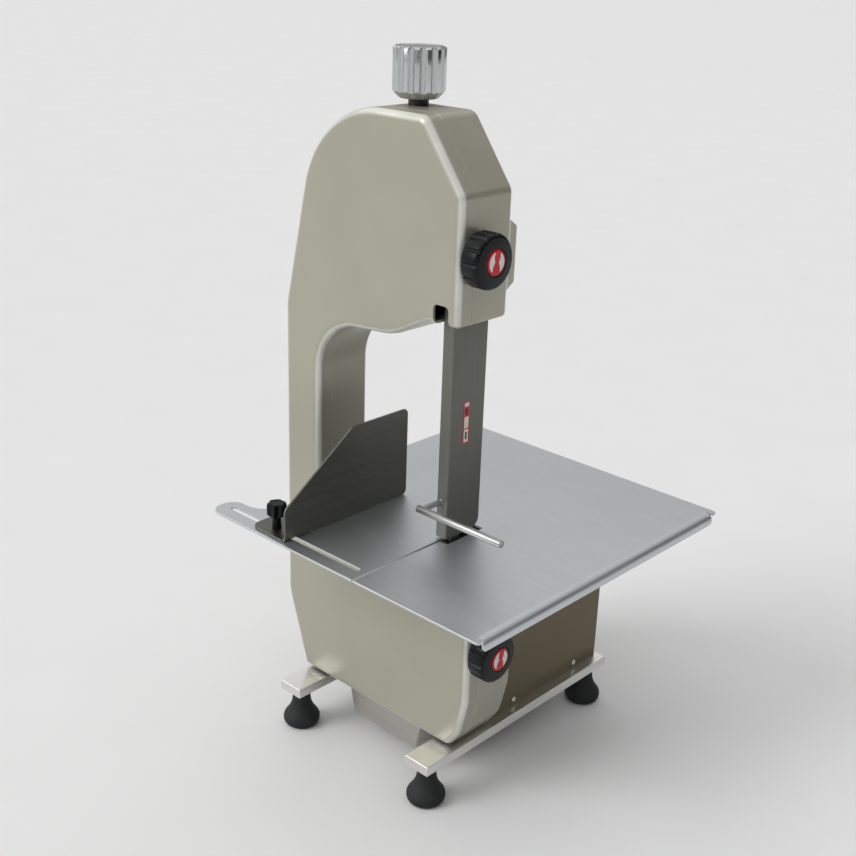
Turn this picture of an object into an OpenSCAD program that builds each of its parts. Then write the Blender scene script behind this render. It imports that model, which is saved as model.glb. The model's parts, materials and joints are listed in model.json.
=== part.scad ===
// Table-top bone saw: a butcher's band saw in a C-shaped hinged casing.
// Millimetres, +Z up. The origin is on the surface that the saw stands on, under its middle.
// The operator stands at -Y. The column and the door's hinges are at -X, the cut is at +X.

/* [Casing] */
// Height of the top of the head
head_top = 741; // [735:1:745]
// Depth of the casing, door and rear casting together
case_depth = 76; // [74:1:80]
// Depth of the door alone
door_depth = 22; // [20:1:23]
// Wall of the rear casting
cast_wall = 4; // [3:0.5:4]
// Wall of the door
door_wall = 3; // [2.5:0.5:3]
// Rounding of the door's front edges
door_round = 8; // [4:1:9]

/* [Table] */
// Height of the table's top face
table_top_z = 301; // [300:1:304]
// Thickness of the table sheet
table_sheet = 2.5; // [2:0.5:3]
// Depth of the table, front to back
table_depth = 412; // [408:1:416]
// Height of the turned-down edge on the right
table_lip = 13; // [8:1:16]

/* [Blade and wheels] */
// Radius of both blade wheels
wheel_r = 96; // [95:0.5:96]
// Width of the wheel rims
wheel_w = 20; // [18:1:20]
// Width of the blade
blade_w = 16; // [13:1:16]
// Thickness of the blade
blade_t = 0.5; // [0.5:0.1:0.7]
// Height of the lower wheel's centre
lower_wheel_z = 170; // [169:1:172]
// Height of the upper wheel's centre, blade tight
upper_wheel_z = 624; // [620:1:624]

/* [Guard] */
// Width of the guard channel
guard_w = 16; // [14:0.5:16]
// Depth of the guard channel
guard_d = 51; // [46:1:51]
// Gap between the lowered guard and the table
guard_gap = 3; // [3:1:8]
// Length of the handle rod
handle_rod = 114; // [100:1:120]

/* [Fence] */
// Height of the fence
fence_h = 105; // [95:1:108]
// Length of the fence, front to back
fence_len = 182; // [170:1:184]
// Thickness of the fence plate
fence_t = 2.2; // [2:0.2:3]

/* [Knobs] */
// Radius of the black door knobs
lock_r = 28; // [26:1:29]
// Radius of the blade tension knob
tension_r = 27; // [25:1:28]
// Height of the blade tension knob
tension_h = 50; // [46:1:52]

/* [Base] */
// Height of the rubber feet, floor to rail
foot_h = 47; // [46:0.5:48]
// Thickness of the two base rails
rail_t = 12; // [10:1:12]
// Width of the base rails
rail_w = 34; // [32:1:36]

/* [Hidden] */
$fn = 72;

// Colours
SATIN = [0.67, 0.66, 0.60];
STEEL = [0.66, 0.68, 0.70];
DARK_STEEL = [0.36, 0.36, 0.34];
RUBBER = [0.12, 0.13, 0.14];
BLACK = [0.05, 0.06, 0.07];
BRASS = [0.72, 0.58, 0.30];
RED = [0.75, 0.06, 0.08];
GREEN = [0.10, 0.50, 0.20];
IRON = [0.30, 0.32, 0.34];

// Planes across the machine, front to back
front_y = -90;
seam_y = front_y + door_depth;
back_y = front_y + case_depth;
wall_y = back_y - cast_wall;
seam_gap = 0.4;
table_front = -206;
table_back = table_front + table_depth;
housing_back = 192;
wheel_y = -54;
run_gap = 0.05;

// The C outline seen from the front: [x, z, corner radius], anticlockwise
base_bottom = foot_h + rail_t + 3;
base_top = 281;
CASE = [
    [-163, base_bottom, 8], [72, base_bottom, 8], [86, base_bottom + 20, 45], [96, base_bottom + 64, 60],
    [96, base_top, 8], [-139, base_top, 8], [-139, 505, 60], [-29, 514, 80], [21, 540, 25],
    [62, 541, 6], [62, 671, 14], [10, head_top, 14], [-144.6, head_top, 115],
    [-194.5, 517, 60], [-194.5, 156, 60]
];
left_x = -194.5;
base_right = 96;
head_right = 62;
head_floor = 541;
throat_x = -139;

// Blade path
blade_gap = 0.3;
wheel_x = -57;
blade_in = wheel_r + blade_gap;
blade_x = wheel_x + blade_in + blade_t / 2;

// Tension screw, behind the upper wheel
screw_x = -49;
screw_y = -36;
screw_r = 5;
carriage_half = 32;

// Guard channel around the blade
guard_right = 47.4;
guard_left = guard_right - guard_w;
guard_front = -76;
guard_back = guard_front + guard_d;
guard_sheet = 1.5;
guard_bottom = table_top_z + guard_gap;
guard_top = 588;
handle_z = 345;
handle_y = -105;

// Door knobs and hinges
hinge_x = -200.5;
hinge_zs = [232, 468];
knuckle_r = 5.5;
pin_r = 3;
stud_r = 5;
head_lock_z = 611;
base_lock_z = 188;

// Base
rail_left = -161;
rail_right = 47.5;
rail_front = -130;
rail_back = 198;
rail_top = foot_h + rail_t;
housing_left = -148;
housing_right = 68;
housing_sheet = 1.5;
housing_top = base_top;
foot_ys = [-112, 178];

// Fence
fence_x = -69.4;
fence_front = -200;
slot_y = -186;
fence_bolt_x = -98;
fence_lift = 0.3;

// Drawer under the blade's lower wheel
drawer_front = -80;
drawer_back = -16;
drawer_top = rail_top - 1;
drawer_bottom = 27;
drawer_wall = 1.2;

// ---- Outline helpers ----
function unit(v) = v / norm(v);
function flat(c) = [c[0], c[1]];
function cross2(a, b) = a[0] * b[1] - a[1] * b[0];
function edge_in(c, i) = unit(flat(c[i]) - flat(c[(i + len(c) - 1) % len(c)]));
function edge_out(c, i) = unit(flat(c[(i + 1) % len(c)]) - flat(c[i]));
function turn(v) = [-v[1], v[0]];

// Points of a closed outline whose corners are rounded
function rounded(c) = [
    for (i = [0 : len(c) - 1])
        let (p = flat(c[i]), a = edge_in(c, i), b = edge_out(c, i), r = c[i][2])
        let (bend = atan2(cross2(a, b), a * b), reach = r * tan(abs(bend) / 2), side = sign(bend))
        let (centre = p - a * reach + turn(a) * r * side, steps = r < 15 ? 5 : 12)
        for (k = [0 : steps])
            let (angle = bend * k / steps, spoke = -turn(a) * r * side)
            centre + [spoke[0] * cos(angle) - spoke[1] * sin(angle), spoke[0] * sin(angle) + spoke[1] * cos(angle)]
];

// The same outline drawn inwards by t
function inset(c, t) = [
    for (i = [0 : len(c) - 1])
        let (a = edge_in(c, i), b = edge_out(c, i), m = turn(a) + turn(b))
        let (p = flat(c[i]) + m * t / (1 + turn(a) * turn(b)), r = c[i][2])
        [p[0], p[1], cross2(a, b) > 0 ? max(r - t, 1) : r + t]
];

// ---- Shape helpers ----
module along_y(y0, y1) { translate([0, y1, 0]) rotate([90, 0, 0]) linear_extrude(y1 - y0) children(); }
module along_x(x0, x1) { translate([x0, 0, 0]) rotate([90, 0, 90]) linear_extrude(x1 - x0) children(); }
module along_z(z0, z1) { translate([0, 0, z0]) linear_extrude(z1 - z0) children(); }
module rod_x(y, z, x0, x1, r) { translate([x0, y, z]) rotate([0, 90, 0]) cylinder(h = x1 - x0, r = r); }
module rod_y(x, z, y0, y1, r) { translate([x, y1, z]) rotate([90, 0, 0]) cylinder(h = y1 - y0, r = r); }
module rod_z(x, y, z0, z1, r) { translate([x, y, z0]) cylinder(h = z1 - z0, r = r); }
module block(low, high) { translate(low) cube(high - low); }
module hex_z(x, y, z0, z1, r) { translate([x, y, z0]) cylinder(h = z1 - z0, r = r, $fn = 6); }
module hex_y(x, z, y0, y1, r) { translate([x, y1, z]) rotate([90, 0, 0]) cylinder(h = y1 - y0, r = r, $fn = 6); }
module hex_x(y, z, x0, x1, r) { translate([x0, y, z]) rotate([0, 90, 0]) cylinder(h = x1 - x0, r = r, $fn = 6); }

// ---- Casing ----
// Half-round seats at the seam for the two door studs
module stud_seats() {
    rod_x(seam_y, head_lock_z, head_right - 6, head_right + 1, stud_r + 1.2);
    rod_x(seam_y, base_lock_z, base_right - 6, base_right + 1, stud_r + 1.2);
}

// The gap in the head's underside that the guard runs in
module guard_gap_cut(y0, y1) { block([30, y0, head_floor - 6], [50.5, y1, head_floor + 21]); }

module rear_casting() {
    color(SATIN) difference() {
        union() {
            difference() {
                along_y(seam_y, back_y) polygon(rounded(CASE));
                along_y(seam_y - 1, wall_y) polygon(rounded(inset(CASE, cast_wall)));
            }
            // lugs that hold the door studs
            block([50, seam_y - 7, head_lock_z - 11], [57, wall_y - 6, head_lock_z + 11]);
            block([49, wall_y - 12, head_lock_z - 11], [57, wall_y + 1, head_lock_z + 11]);
            block([84, seam_y - 7, base_lock_z - 11], [91, wall_y + 1, base_lock_z + 11]);
            // pads that stand on the rails
            block([rail_right + 2, seam_y + 6, rail_top], [68, back_y, base_bottom + 1]);
            block([rail_left + 4, seam_y + 6, rail_top], [rail_left + rail_w - 2, back_y, base_bottom + 1]);
            // boss round the motor shaft
            rod_y(wheel_x, lower_wheel_z, wall_y - 6, wall_y + 1, 34);
        }
        stud_seats();
        rod_x(seam_y, head_lock_z, 49, 60, stud_r);
        rod_x(seam_y, base_lock_z, 83, 94, stud_r);
        // way through for the guard and the blade in the head, and for the blade in the base
        guard_gap_cut(seam_y - 1, guard_back + 4);
        block([blade_x - 4, seam_y - 1, base_top - 6], [blade_x + 4, -42, base_top + 1]);
        // the shaft's bore, the tension screw's bore, and the chute to the drawer
        rod_y(wheel_x, lower_wheel_z, wall_y - 7, back_y + 1, 12);
        rod_z(screw_x, screw_y, head_top - 6, head_top + 1, screw_r + 0.4);
        block([-75, seam_y + 6, base_bottom - 1], [5, -26, base_bottom + 6]);
    }
}

// Cast boss on the back of the head, over the guard guide's bolts
module head_back_boss() {
    boss_d = 12;
    color(SATIN) along_x(-12, 60)
        polygon([[back_y, 567], [back_y + boss_d, 574], [back_y + boss_d, 633], [back_y, 641]]);
}

// The door: an open tray with rounded front edges and the same C outline
module door_shell() {
    steps = 4;
    color(SATIN) difference() {
        union() {
            along_y(front_y + door_round, seam_y - seam_gap) polygon(rounded(CASE));
            for (k = [0 : steps - 1])
                let (a = 90 * (k + 0.5) / steps, y0 = front_y + door_round * (1 - sin(90 * (k + 1) / steps)))
                along_y(y0, front_y + door_round * (1 - sin(90 * k / steps)) + 0.01)
                    polygon(rounded(inset(CASE, door_round * (1 - cos(a)))));
        }
        along_y(front_y + door_wall, seam_y) polygon(rounded(inset(CASE, door_wall)));
        // notch that clears the guard when the door swings
        guard_gap_cut(front_y - 1, seam_y);
        stud_seats();
    }
}

module knuckle(z0, z1, r_bore, leaf_y0, leaf_y1) {
    difference() {
        union() {
            rod_z(hinge_x, seam_y, z0, z1, knuckle_r);
            block([left_x - 3, leaf_y0, z0], [left_x, leaf_y1, z1]);
            block([hinge_x, seam_y - 2, z0], [left_x, seam_y + 2, z1]);
        }
        rod_z(hinge_x, seam_y, z0 - 1, z1 + 1, r_bore);
    }
}

module frame_hinges() {
    color(STEEL) for (z = hinge_zs, s = [-1, 1])
        knuckle(z + s * 20 - 10, z + s * 20 + 10, pin_r, seam_y + 1, seam_y + 26);
}

module hinge_pins() {
    color(STEEL) for (z = hinge_zs) {
        rod_z(hinge_x, seam_y, z - 30, z + 30, pin_r);
        rod_z(hinge_x, seam_y, z + 30, z + 32, pin_r + 1.5);
    }
}

module door_hinges() {
    color(STEEL) for (z = hinge_zs)
        difference() {
            union() {
                rod_z(hinge_x, seam_y, z - 9.7, z + 9.7, knuckle_r);
                block([left_x - 3, seam_y - 14, z - 9.7], [left_x, seam_y - 1, z + 9.7]);
                block([hinge_x, seam_y - 3, z - 9.7], [left_x - 0.5, seam_y - 0.5, z + 9.7]);
            }
            rod_z(hinge_x, seam_y, z - 11, z + 11, pin_r + run_gap);
        }
}

// Studs that the door knobs screw onto
module lock_studs() {
    color(STEEL) {
        rod_x(seam_y, head_lock_z, 50.5, head_right + 22, stud_r);
        rod_x(seam_y, base_lock_z, 84, base_right + 22, stud_r);
    }
}

// ---- Door knobs: black, ribbed, with a round cap ----
module lock_knob(x, z) {
    ribs = 12;
    skirt = 0.6;
    length = 27;
    translate([x + skirt, seam_y, z]) rotate([0, 90, 0]) difference() {
        union() {
            cylinder(h = 4, r = lock_r - 6);
            translate([0, 0, 3.9]) cylinder(h = length - 3.9, r = lock_r);
        }
        for (i = [0 : ribs - 1])
            rotate([0, 0, 360 * (i + 0.5) / ribs]) translate([lock_r + 2.4, 0, 3.8]) cylinder(h = length, r = 4.6);
        translate([0, 0, -1]) cylinder(h = 23.4, r = stud_r + run_gap);
        translate([0, 0, length - 1]) cylinder(h = 2, r = 13.2);
    }
}
module lock_cap(x, z) { rod_x(seam_y, z, x + 26.6, x + 28.4, 13); }
module head_lock_knob() { color(BLACK) lock_knob(head_right, head_lock_z); }
module base_lock_knob() { color(BLACK) lock_knob(base_right, base_lock_z); }
module head_lock_cap() { color(RED) lock_cap(head_right, head_lock_z); }
module base_lock_cap() { color(RED) lock_cap(base_right, base_lock_z); }

// ---- Blade tension ----
module tension_knob() {
    flutes = 14;
    low = head_top + 7;
    color(STEEL) difference() {
        translate([screw_x, screw_y, low]) rotate_extrude()
            polygon([[0, 0], [20, 0], [tension_r, 7], [tension_r, tension_h - 1.5], [tension_r - 1.5, tension_h],
                [0, tension_h]]);
        for (i = [0 : flutes - 1])
            translate([screw_x, screw_y, low]) rotate([0, 0, 360 * i / flutes])
                translate([tension_r + 1.6, 0, -1]) cylinder(h = tension_h + 2, r = 3.4);
        rod_z(screw_x, screw_y, low - 1, low + 30, screw_r);
    }
}
module tension_screw() { color(STEEL) rod_z(screw_x, screw_y, 646, head_top + 37, screw_r); }
module tension_collar() {
    color(DARK_STEEL) difference() {
        rod_z(screw_x, screw_y, head_top, head_top + 6.6, 10.4);
        rod_z(screw_x, screw_y, head_top - 1, head_top + 8, screw_r + run_gap);
    }
}

plate_front = -37;
plate_back = -27;
module wheel_carriage() {
    color(IRON) difference() {
        union() {
            block([wheel_x - carriage_half, plate_front, 584], [wheel_x + carriage_half, plate_back, 672]);
            block([screw_x - 11, plate_front - 4.5, 652], [screw_x + 11, plate_back, 686]);
            rod_y(wheel_x, upper_wheel_z, -42.5, plate_front + 1, 13);
        }
        rod_z(screw_x, screw_y, 640, 690, screw_r + run_gap);
        rod_y(wheel_x, upper_wheel_z, -44, plate_back + 1, 8.5);
    }
}

module tension_guides() {
    lip = 6;
    color(STEEL) for (s = [-1, 1]) difference() {
        translate([wheel_x + s * (carriage_half + 3), 0, 0])
            block([-9, -41, 570], [9, wall_y, 690]);
        translate([wheel_x, 0, 0])
            block([-carriage_half - run_gap, plate_front - run_gap, 560],
                [carriage_half + run_gap, plate_back + run_gap, 700]);
        if (s > 0) block([screw_x - 12, -42, 560], [screw_x + 12, plate_front, 700]);
    }
}

module upper_axle() {
    color(STEEL) {
        rod_y(wheel_x, upper_wheel_z, -70, plate_back, 8.5);
        hex_y(wheel_x, upper_wheel_z, -78, -70, 12);
    }
}

// ---- Wheels ----
wheel_front = wheel_y - wheel_w / 2;
wheel_back = wheel_y + wheel_w / 2;
module blade_wheel(z, bore_r) {
    hole_ring = 56;
    difference() {
        union() {
            rod_y(wheel_x, z, wheel_front, wheel_back, wheel_r);
            rod_y(wheel_x, z, wheel_back - 1.6, wheel_back, wheel_r + 2);
        }
        difference() {
            rod_y(wheel_x, z, wheel_front - 1, wheel_y - 3, wheel_r - 10);
            rod_y(wheel_x, z, wheel_front - 2, wheel_y, 27);
        }
        difference() {
            rod_y(wheel_x, z, wheel_y + 3, wheel_back + 1, wheel_r - 10);
            rod_y(wheel_x, z, wheel_y, wheel_back + 2, 27);
        }
        for (i = [0 : 4])
            rod_y(wheel_x + hole_ring * cos(72 * i + 18), z + hole_ring * sin(72 * i + 18),
                wheel_front, wheel_back, 16);
        rod_y(wheel_x, z, wheel_front - 1, wheel_back + 1, bore_r);
    }
}
module upper_wheel() { color(IRON) blade_wheel(upper_wheel_z, 17.5); }
module lower_wheel() { color(IRON) blade_wheel(lower_wheel_z, 10); }
module upper_bearings() {
    color(STEEL) for (y = [wheel_front, wheel_y + 0.5]) difference() {
        rod_y(wheel_x, upper_wheel_z, y, y + 9.5, 17.5);
        rod_y(wheel_x, upper_wheel_z, y - 1, y + 11, 8.5 + run_gap);
    }
}

// A closed band round both wheels
module blade_loop(r) {
    translate([wheel_x, upper_wheel_z]) circle(r = r);
    translate([wheel_x, lower_wheel_z]) circle(r = r);
    translate([wheel_x - r, lower_wheel_z]) square([2 * r, upper_wheel_z - lower_wheel_z]);
}
blade_front = wheel_y - blade_w / 2;
blade_back = wheel_y + blade_w / 2;
module saw_blade() {
    color(STEEL) along_y(blade_front, blade_back) difference() {
        blade_loop(blade_in + blade_t);
        blade_loop(blade_in);
    }
}

// ---- Blade guides and scrapers ----
module upper_blade_guide() {
    color(BRASS) difference() {
        block([27, -64, 549], [43.4, wall_y, 561]);
        block([blade_x - 0.7, -65, 548], [blade_x + 0.7, blade_back + 0.4, 562]);
    }
}
module lower_blade_guide() {
    color(BRASS) difference() {
        block([30, -64, base_top], [49, -24, base_top + 13]);
        block([blade_x - 0.7, -65, base_top - 1], [blade_x + 0.7, blade_back + 0.4, base_top + 14]);
    }
}
module blade_scraper() {
    color(BRASS) for (s = [-1, 1])
        block([blade_x + s * 4.9 - 4, -60, 226], [blade_x + s * 4.9 + 4, wall_y, 236]);
}
module wheel_scraper() {
    color(BRASS) block([wheel_x - 12, wheel_front + 2, lower_wheel_z + wheel_r + 2.6],
        [wheel_x + 12, wall_y, lower_wheel_z + wheel_r + 6]);
}

// ---- Motor ----
module motor_flange() {
    color(IRON) difference() {
        union() {
            rod_y(wheel_x, lower_wheel_z, back_y, back_y + 12, 74);
            for (a = [45 : 90 : 315])
                hex_y(wheel_x + 68 * cos(a), lower_wheel_z + 68 * sin(a), back_y + 12, back_y + 17, 6);
        }
        rod_y(wheel_x, lower_wheel_z, back_y - 1, back_y + 13, 12);
    }
}
module motor_body() {
    color(IRON) difference() {
        union() {
            rod_y(wheel_x, lower_wheel_z, back_y + 12, 134, 62);
            for (a = [0 : 30 : 330])
                translate([wheel_x, 0, lower_wheel_z]) rotate([0, a, 0]) block([60, 6, -1.5], [67, 126, 1.5]);
        }
        rod_y(wheel_x, lower_wheel_z, back_y + 18, 128, 36);
        rod_y(wheel_x, lower_wheel_z, back_y, 136, 11);
    }
}
module motor_fan_cover() {
    color(BLACK) difference() {
        rod_y(wheel_x, lower_wheel_z, 134, 166, 64);
        rod_y(wheel_x, lower_wheel_z, 133, 164, 62);
        for (a = [0 : 30 : 330])
            translate([wheel_x, 0, lower_wheel_z]) rotate([0, a, 0]) block([22, 160, -3], [52, 170, 3]);
    }
}
module motor_shaft() { color(STEEL) rod_y(wheel_x, lower_wheel_z, -66, 156, 10); }
module motor_rotor() {
    color(IRON) difference() {
        rod_y(wheel_x, lower_wheel_z, 14, 116, 35.3);
        rod_y(wheel_x, lower_wheel_z, 13, 117, 10);
    }
}
module motor_fan() {
    color(BLACK) difference() {
        union() {
            rod_y(wheel_x, lower_wheel_z, 138, 141, 50);
            rod_y(wheel_x, lower_wheel_z, 138, 154, 16);
            for (a = [0 : 45 : 315])
                translate([wheel_x, 0, lower_wheel_z]) rotate([0, a, 0]) block([14, 140, -1], [50, 154, 1]);
        }
        rod_y(wheel_x, lower_wheel_z, 137, 155, 10);
    }
}
module wheel_bolt() {
    color(STEEL) {
        rod_y(wheel_x, lower_wheel_z, -69, -66, 16);
        hex_y(wheel_x, lower_wheel_z, -76, -69, 9);
    }
}
module start_capacitor() {
    color(BLACK) rod_y(housing_right - 24, 250, 30, 120, 20);
    color(STEEL) block([housing_right - 24, 70, 250 - 3], [housing_right - housing_sheet, 80, 250 + 24]);
}

// ---- Motor housing: a folded cover, open below, with a vented back ----
module motor_housing() {
    s = housing_sheet;
    color(STEEL) difference() {
        block([housing_left, back_y, rail_top], [housing_right, housing_back, housing_top]);
        block([housing_left + s, back_y - 1, rail_top - 1], [housing_right - s, housing_back + 1, housing_top - s]);
        rod_z(-110, 60, housing_top - 5, housing_top + 1, 4);
    }
}
module housing_back_panel() {
    slots = 7;
    s = housing_sheet;
    color(STEEL) difference() {
        block([housing_left + s + 0.2, housing_back - 2.5, rail_top + 1],
            [housing_right - s - 0.2, housing_back - 0.5, housing_top - s - 0.2]);
        for (i = [0 : slots - 1])
            block([wheel_x - 45, housing_back - 4, 130 + i * 13], [wheel_x + 45, housing_back + 1, 135 + i * 13]);
        rod_y(-120, 84, housing_back - 5, housing_back + 1, 8);
    }
}
module cable_gland() {
    color(BLACK) difference() {
        union() {
            rod_y(-120, 84, housing_back - 8, housing_back - 0.4, 8);
            hex_y(-120, 84, housing_back - 0.5, housing_back + 6, 12);
            rod_y(-120, 84, housing_back + 6, housing_back + 13, 9);
        }
        rod_y(-120, 84, housing_back - 9, housing_back + 14, 4.2);
    }
}
module housing_screws() {
    color(STEEL) {
        for (y = [32, 148], x = [housing_right, housing_left - 2])
            rod_x(y, rail_top + 7, x, x + 2, 3.2);
        for (x = [housing_left + 12, housing_right - 12], z = [rail_top + 12, housing_top - 14])
            rod_y(x, z, housing_back - 0.5, housing_back + 1.5, 3.2);
    }
}

// ---- Switch on the left of the motor housing ----
switch_y = 70;
start_z = 212;
stop_z = 172;
module switch_box() {
    outer = housing_left - 30;
    color(BLACK) difference() {
        block([outer, switch_y - 28, 142], [housing_left, switch_y + 28, 242]);
        block([outer + 3, switch_y - 25, 145], [housing_left - 3, switch_y + 25, 239]);
        for (z = [start_z, stop_z]) rod_x(switch_y, z, outer - 1, outer + 4, 10.3);
    }
}
module push_button(z, out) {
    outer = housing_left - 30;
    rod_x(switch_y, z, outer - out, outer + 6, 10);
    rod_x(switch_y, z, outer + 5, outer + 12, 12.5);
}
module start_button() { color(GREEN) push_button(start_z, 5); }
module stop_button() { color(RED) push_button(stop_z, 8); }

// ---- Base ----
module base_rail(x) {
    color(STEEL) difference() {
        block([x, rail_front, foot_h], [x + rail_w, rail_back, rail_top]);
        for (y = foot_ys) rod_z(x + rail_w / 2, y, foot_h - 1, rail_top + 1, 4);
    }
}
module base_rail_left() { base_rail(rail_left); }
module base_rail_right() { base_rail(rail_right); }

module foot(x, y) {
    color(RUBBER) difference() {
        translate([x + rail_w / 2, y, 0]) rotate_extrude()
            polygon([[0, 0], [20, 0], [22, 3], [21.5, 11], [17, 22], [12, 31], [10.5, 36], [10.5, foot_h - 3],
                [0, foot_h - 3]]);
        rod_z(x + rail_w / 2, y, 16, foot_h, 4);
    }
}
module foot_front_left() { foot(rail_left, foot_ys[0]); }
module foot_front_right() { foot(rail_right, foot_ys[0]); }
module foot_rear_left() { foot(rail_left, foot_ys[1]); }
module foot_rear_right() { foot(rail_right, foot_ys[1]); }

module foot_bolts() {
    color(STEEL) for (x = [rail_left, rail_right] + [1, 1] * rail_w / 2, y = foot_ys) {
        rod_z(x, y, 16, rail_top - 0.5, 4);
        difference() {
            rod_z(x, y, foot_h - 3, foot_h, 9);
            rod_z(x, y, foot_h - 4, foot_h + 1, 4);
        }
    }
}
module rail_bolts() {
    color(STEEL) for (x = [rail_left + 18, rail_right + 11], y = [-40])
        hex_z(x, y, foot_h - 5, foot_h, 6.5);
}

// ---- Waste drawer ----
drawer_mid = -34;
module drawer_profile(inset_by) {
    half_top = 59;
    half_low = 51;
    polygon([[drawer_mid - half_low + inset_by, drawer_bottom + inset_by],
        [drawer_mid + half_low - inset_by, drawer_bottom + inset_by],
        [drawer_mid + half_top - inset_by, drawer_top + (inset_by > 0 ? 1 : 0)],
        [drawer_mid - half_top + inset_by, drawer_top + (inset_by > 0 ? 1 : 0)]]);
}
module waste_drawer() {
    color(DARK_STEEL) difference() {
        union() {
            along_y(drawer_front, drawer_back) drawer_profile(0);
            block([drawer_mid - 64, drawer_front + 14, drawer_top - 1.2], [drawer_mid + 64, drawer_back, drawer_top]);
        }
        along_y(drawer_front + drawer_wall, drawer_back - drawer_wall) drawer_profile(drawer_wall);
    }
}
module drawer_runners() {
    color(STEEL) for (s = [-1, 1]) translate([drawer_mid, 0, 0]) mirror([s < 0 ? 1 : 0, 0, 0]) {
        block([64.5, seam_y + 4, drawer_top - 3], [66.5, back_y - 2, base_bottom]);
        block([60.5, seam_y + 4, drawer_top - 3], [66.5, back_y - 2, drawer_top - 1.5]);
    }
}

// ---- Table ----
// Table outline seen from above: [x, y, corner radius], anticlockwise
table_right = 206;
TABLE = [
    [-189, table_front, 16], [table_right, table_front, 14], [table_right, table_back, 16],
    [-170, table_back, 24], [-170, -6, 6], [-136.5, -6, 4], [-136.5, -118, 40], [-142, -171, 28],
    [-189, -171, 16]
];
module stadium(x0, x1, y, r) {
    translate([x0, y]) circle(r = r);
    translate([x1, y]) circle(r = r);
    translate([x0, y - r]) square([x1 - x0, 2 * r]);
}
module table_top() {
    slit = 3;
    color(STEEL) {
        along_z(table_top_z - table_sheet, table_top_z) difference() {
            polygon(rounded(TABLE));
            // slot for the fence bolt
            stadium(-170.5, 26, slot_y, 3.6);
            // blade opening, with its slit to the front edge
            translate([blade_x - 2, guard_front - 3]) square([14, 58]);
            translate([blade_x - slit / 2, table_front - 1]) square([slit, guard_front - table_front]);
        }
        block([table_right - table_sheet, table_front + 14, table_top_z - table_lip],
            [table_right, table_back - 16, table_top_z - table_sheet]);
    }
}
module table_support(x) {
    color(DARK_STEEL) difference() {
        block([x, -58, base_top], [x + 20, 186, table_top_z - table_sheet]);
        block([x + 2, -60, base_top + 2], [x + 18, 190, table_top_z - table_sheet - 2]);
    }
}
module table_support_left() { table_support(-118); }
module table_support_right() { table_support(62); }
module table_screws() {
    color(STEEL) for (x = [-108, 72], y = [-30, 150])
        hex_z(x, y, base_top + 2, base_top + 6, 6.5);
}

// ---- Blade guard, with its handle ----
module blade_guard() {
    t = guard_sheet;
    back_corner = 13;
    lip = 9;
    color(DARK_STEEL) union() {
        // right cheek, rounded at its lower back corner
        along_x(guard_right - t, guard_right) difference() {
            translate([guard_front, guard_bottom]) square([guard_d, guard_top - guard_bottom]);
            difference() {
                translate([guard_back - back_corner, guard_bottom]) square([back_corner + 1, back_corner]);
                translate([guard_back - back_corner, guard_bottom + back_corner]) circle(r = back_corner);
            }
        }
        block([guard_left, guard_front, guard_bottom], [guard_right, guard_front + t, guard_top]);
        block([guard_left, guard_front, guard_bottom], [guard_left + t, guard_front + lip, guard_top]);
    }
}
module guard_handle() {
    color(STEEL) {
        rod_y(37, handle_z, handle_y, guard_front, 3.4);
        rod_x(handle_y, handle_z, 32, 32 + handle_rod, 4);
    }
}
// Block on the casting's back wall; the guard's cheek slides in its groove
module guard_guide_block() {
    color(BRASS) difference() {
        block([44.2, guard_back - 8, 551], [53, wall_y, 579]);
        block([guard_right - guard_sheet - run_gap, guard_back - 9, 550],
            [guard_right + run_gap, guard_back + run_gap, 580]);
    }
}

// ---- Fence ----
module fence_plate() {
    low = table_top_z + fence_lift;
    back = fence_front + fence_len;
    color(DARK_STEEL) {
        along_x(fence_x - fence_t / 2, fence_x + fence_t / 2)
            polygon(rounded([[fence_front, low, 1.5], [back, low, 6], [back, low + fence_h, 7],
                [fence_front + 97, low + fence_h, 8], [fence_front, low + 36, 8]]));
        along_z(low, low + fence_t) difference() {
            polygon(rounded([[-123, fence_front - 2, 12], [fence_x, fence_front - 2, 1],
                [fence_x, fence_front + 38, 1], [-123, fence_front + 38, 12]]));
            translate([fence_bolt_x, slot_y]) circle(r = 3.2);
        }
    }
}
fence_flange_top = table_top_z + fence_lift + fence_t;
module fence_bolt() {
    color(STEEL) {
        rod_z(fence_bolt_x, slot_y, 290, 323, 3);
        rod_z(fence_bolt_x, slot_y, 290, table_top_z - table_sheet - 0.4, 8);
    }
}
module fence_knob() {
    lobes = 8;
    color(BLACK) difference() {
        union() {
            rod_z(fence_bolt_x, slot_y, fence_flange_top + 0.2, 317, 5.5);
            rod_z(fence_bolt_x, slot_y, 316, 333, 11);
        }
        for (i = [0 : lobes - 1])
            translate([fence_bolt_x, slot_y, 315]) rotate([0, 0, 360 * i / lobes])
                translate([12, 0, 0]) cylinder(h = 20, r = 2.6);
        rod_z(fence_bolt_x, slot_y, fence_flange_top - 1, 324, 3 + run_gap);
    }
}

rear_casting();
head_back_boss();
motor_housing();
housing_back_panel();
motor_body();
motor_flange();
motor_fan_cover();
start_capacitor();
base_rail_left();
base_rail_right();
foot_front_left();
foot_front_right();
foot_rear_left();
foot_rear_right();
foot_bolts();
rail_bolts();
table_top();
table_support_left();
table_support_right();
table_screws();
housing_screws();
saw_blade();
upper_blade_guide();
lower_blade_guide();
blade_scraper();
wheel_scraper();
frame_hinges();
hinge_pins();
lock_studs();
cable_gland();
switch_box();
tension_guides();
tension_collar();
guard_guide_block();
drawer_runners();
door_shell();
door_hinges();
wheel_carriage();
upper_axle();
tension_knob();
tension_screw();
upper_wheel();
upper_bearings();
lower_wheel();
motor_shaft();
motor_rotor();
motor_fan();
wheel_bolt();
blade_guard();
guard_handle();
fence_plate();
fence_bolt();
fence_knob();
head_lock_knob();
head_lock_cap();
base_lock_knob();
base_lock_cap();
waste_drawer();
start_button();
stop_button();
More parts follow.
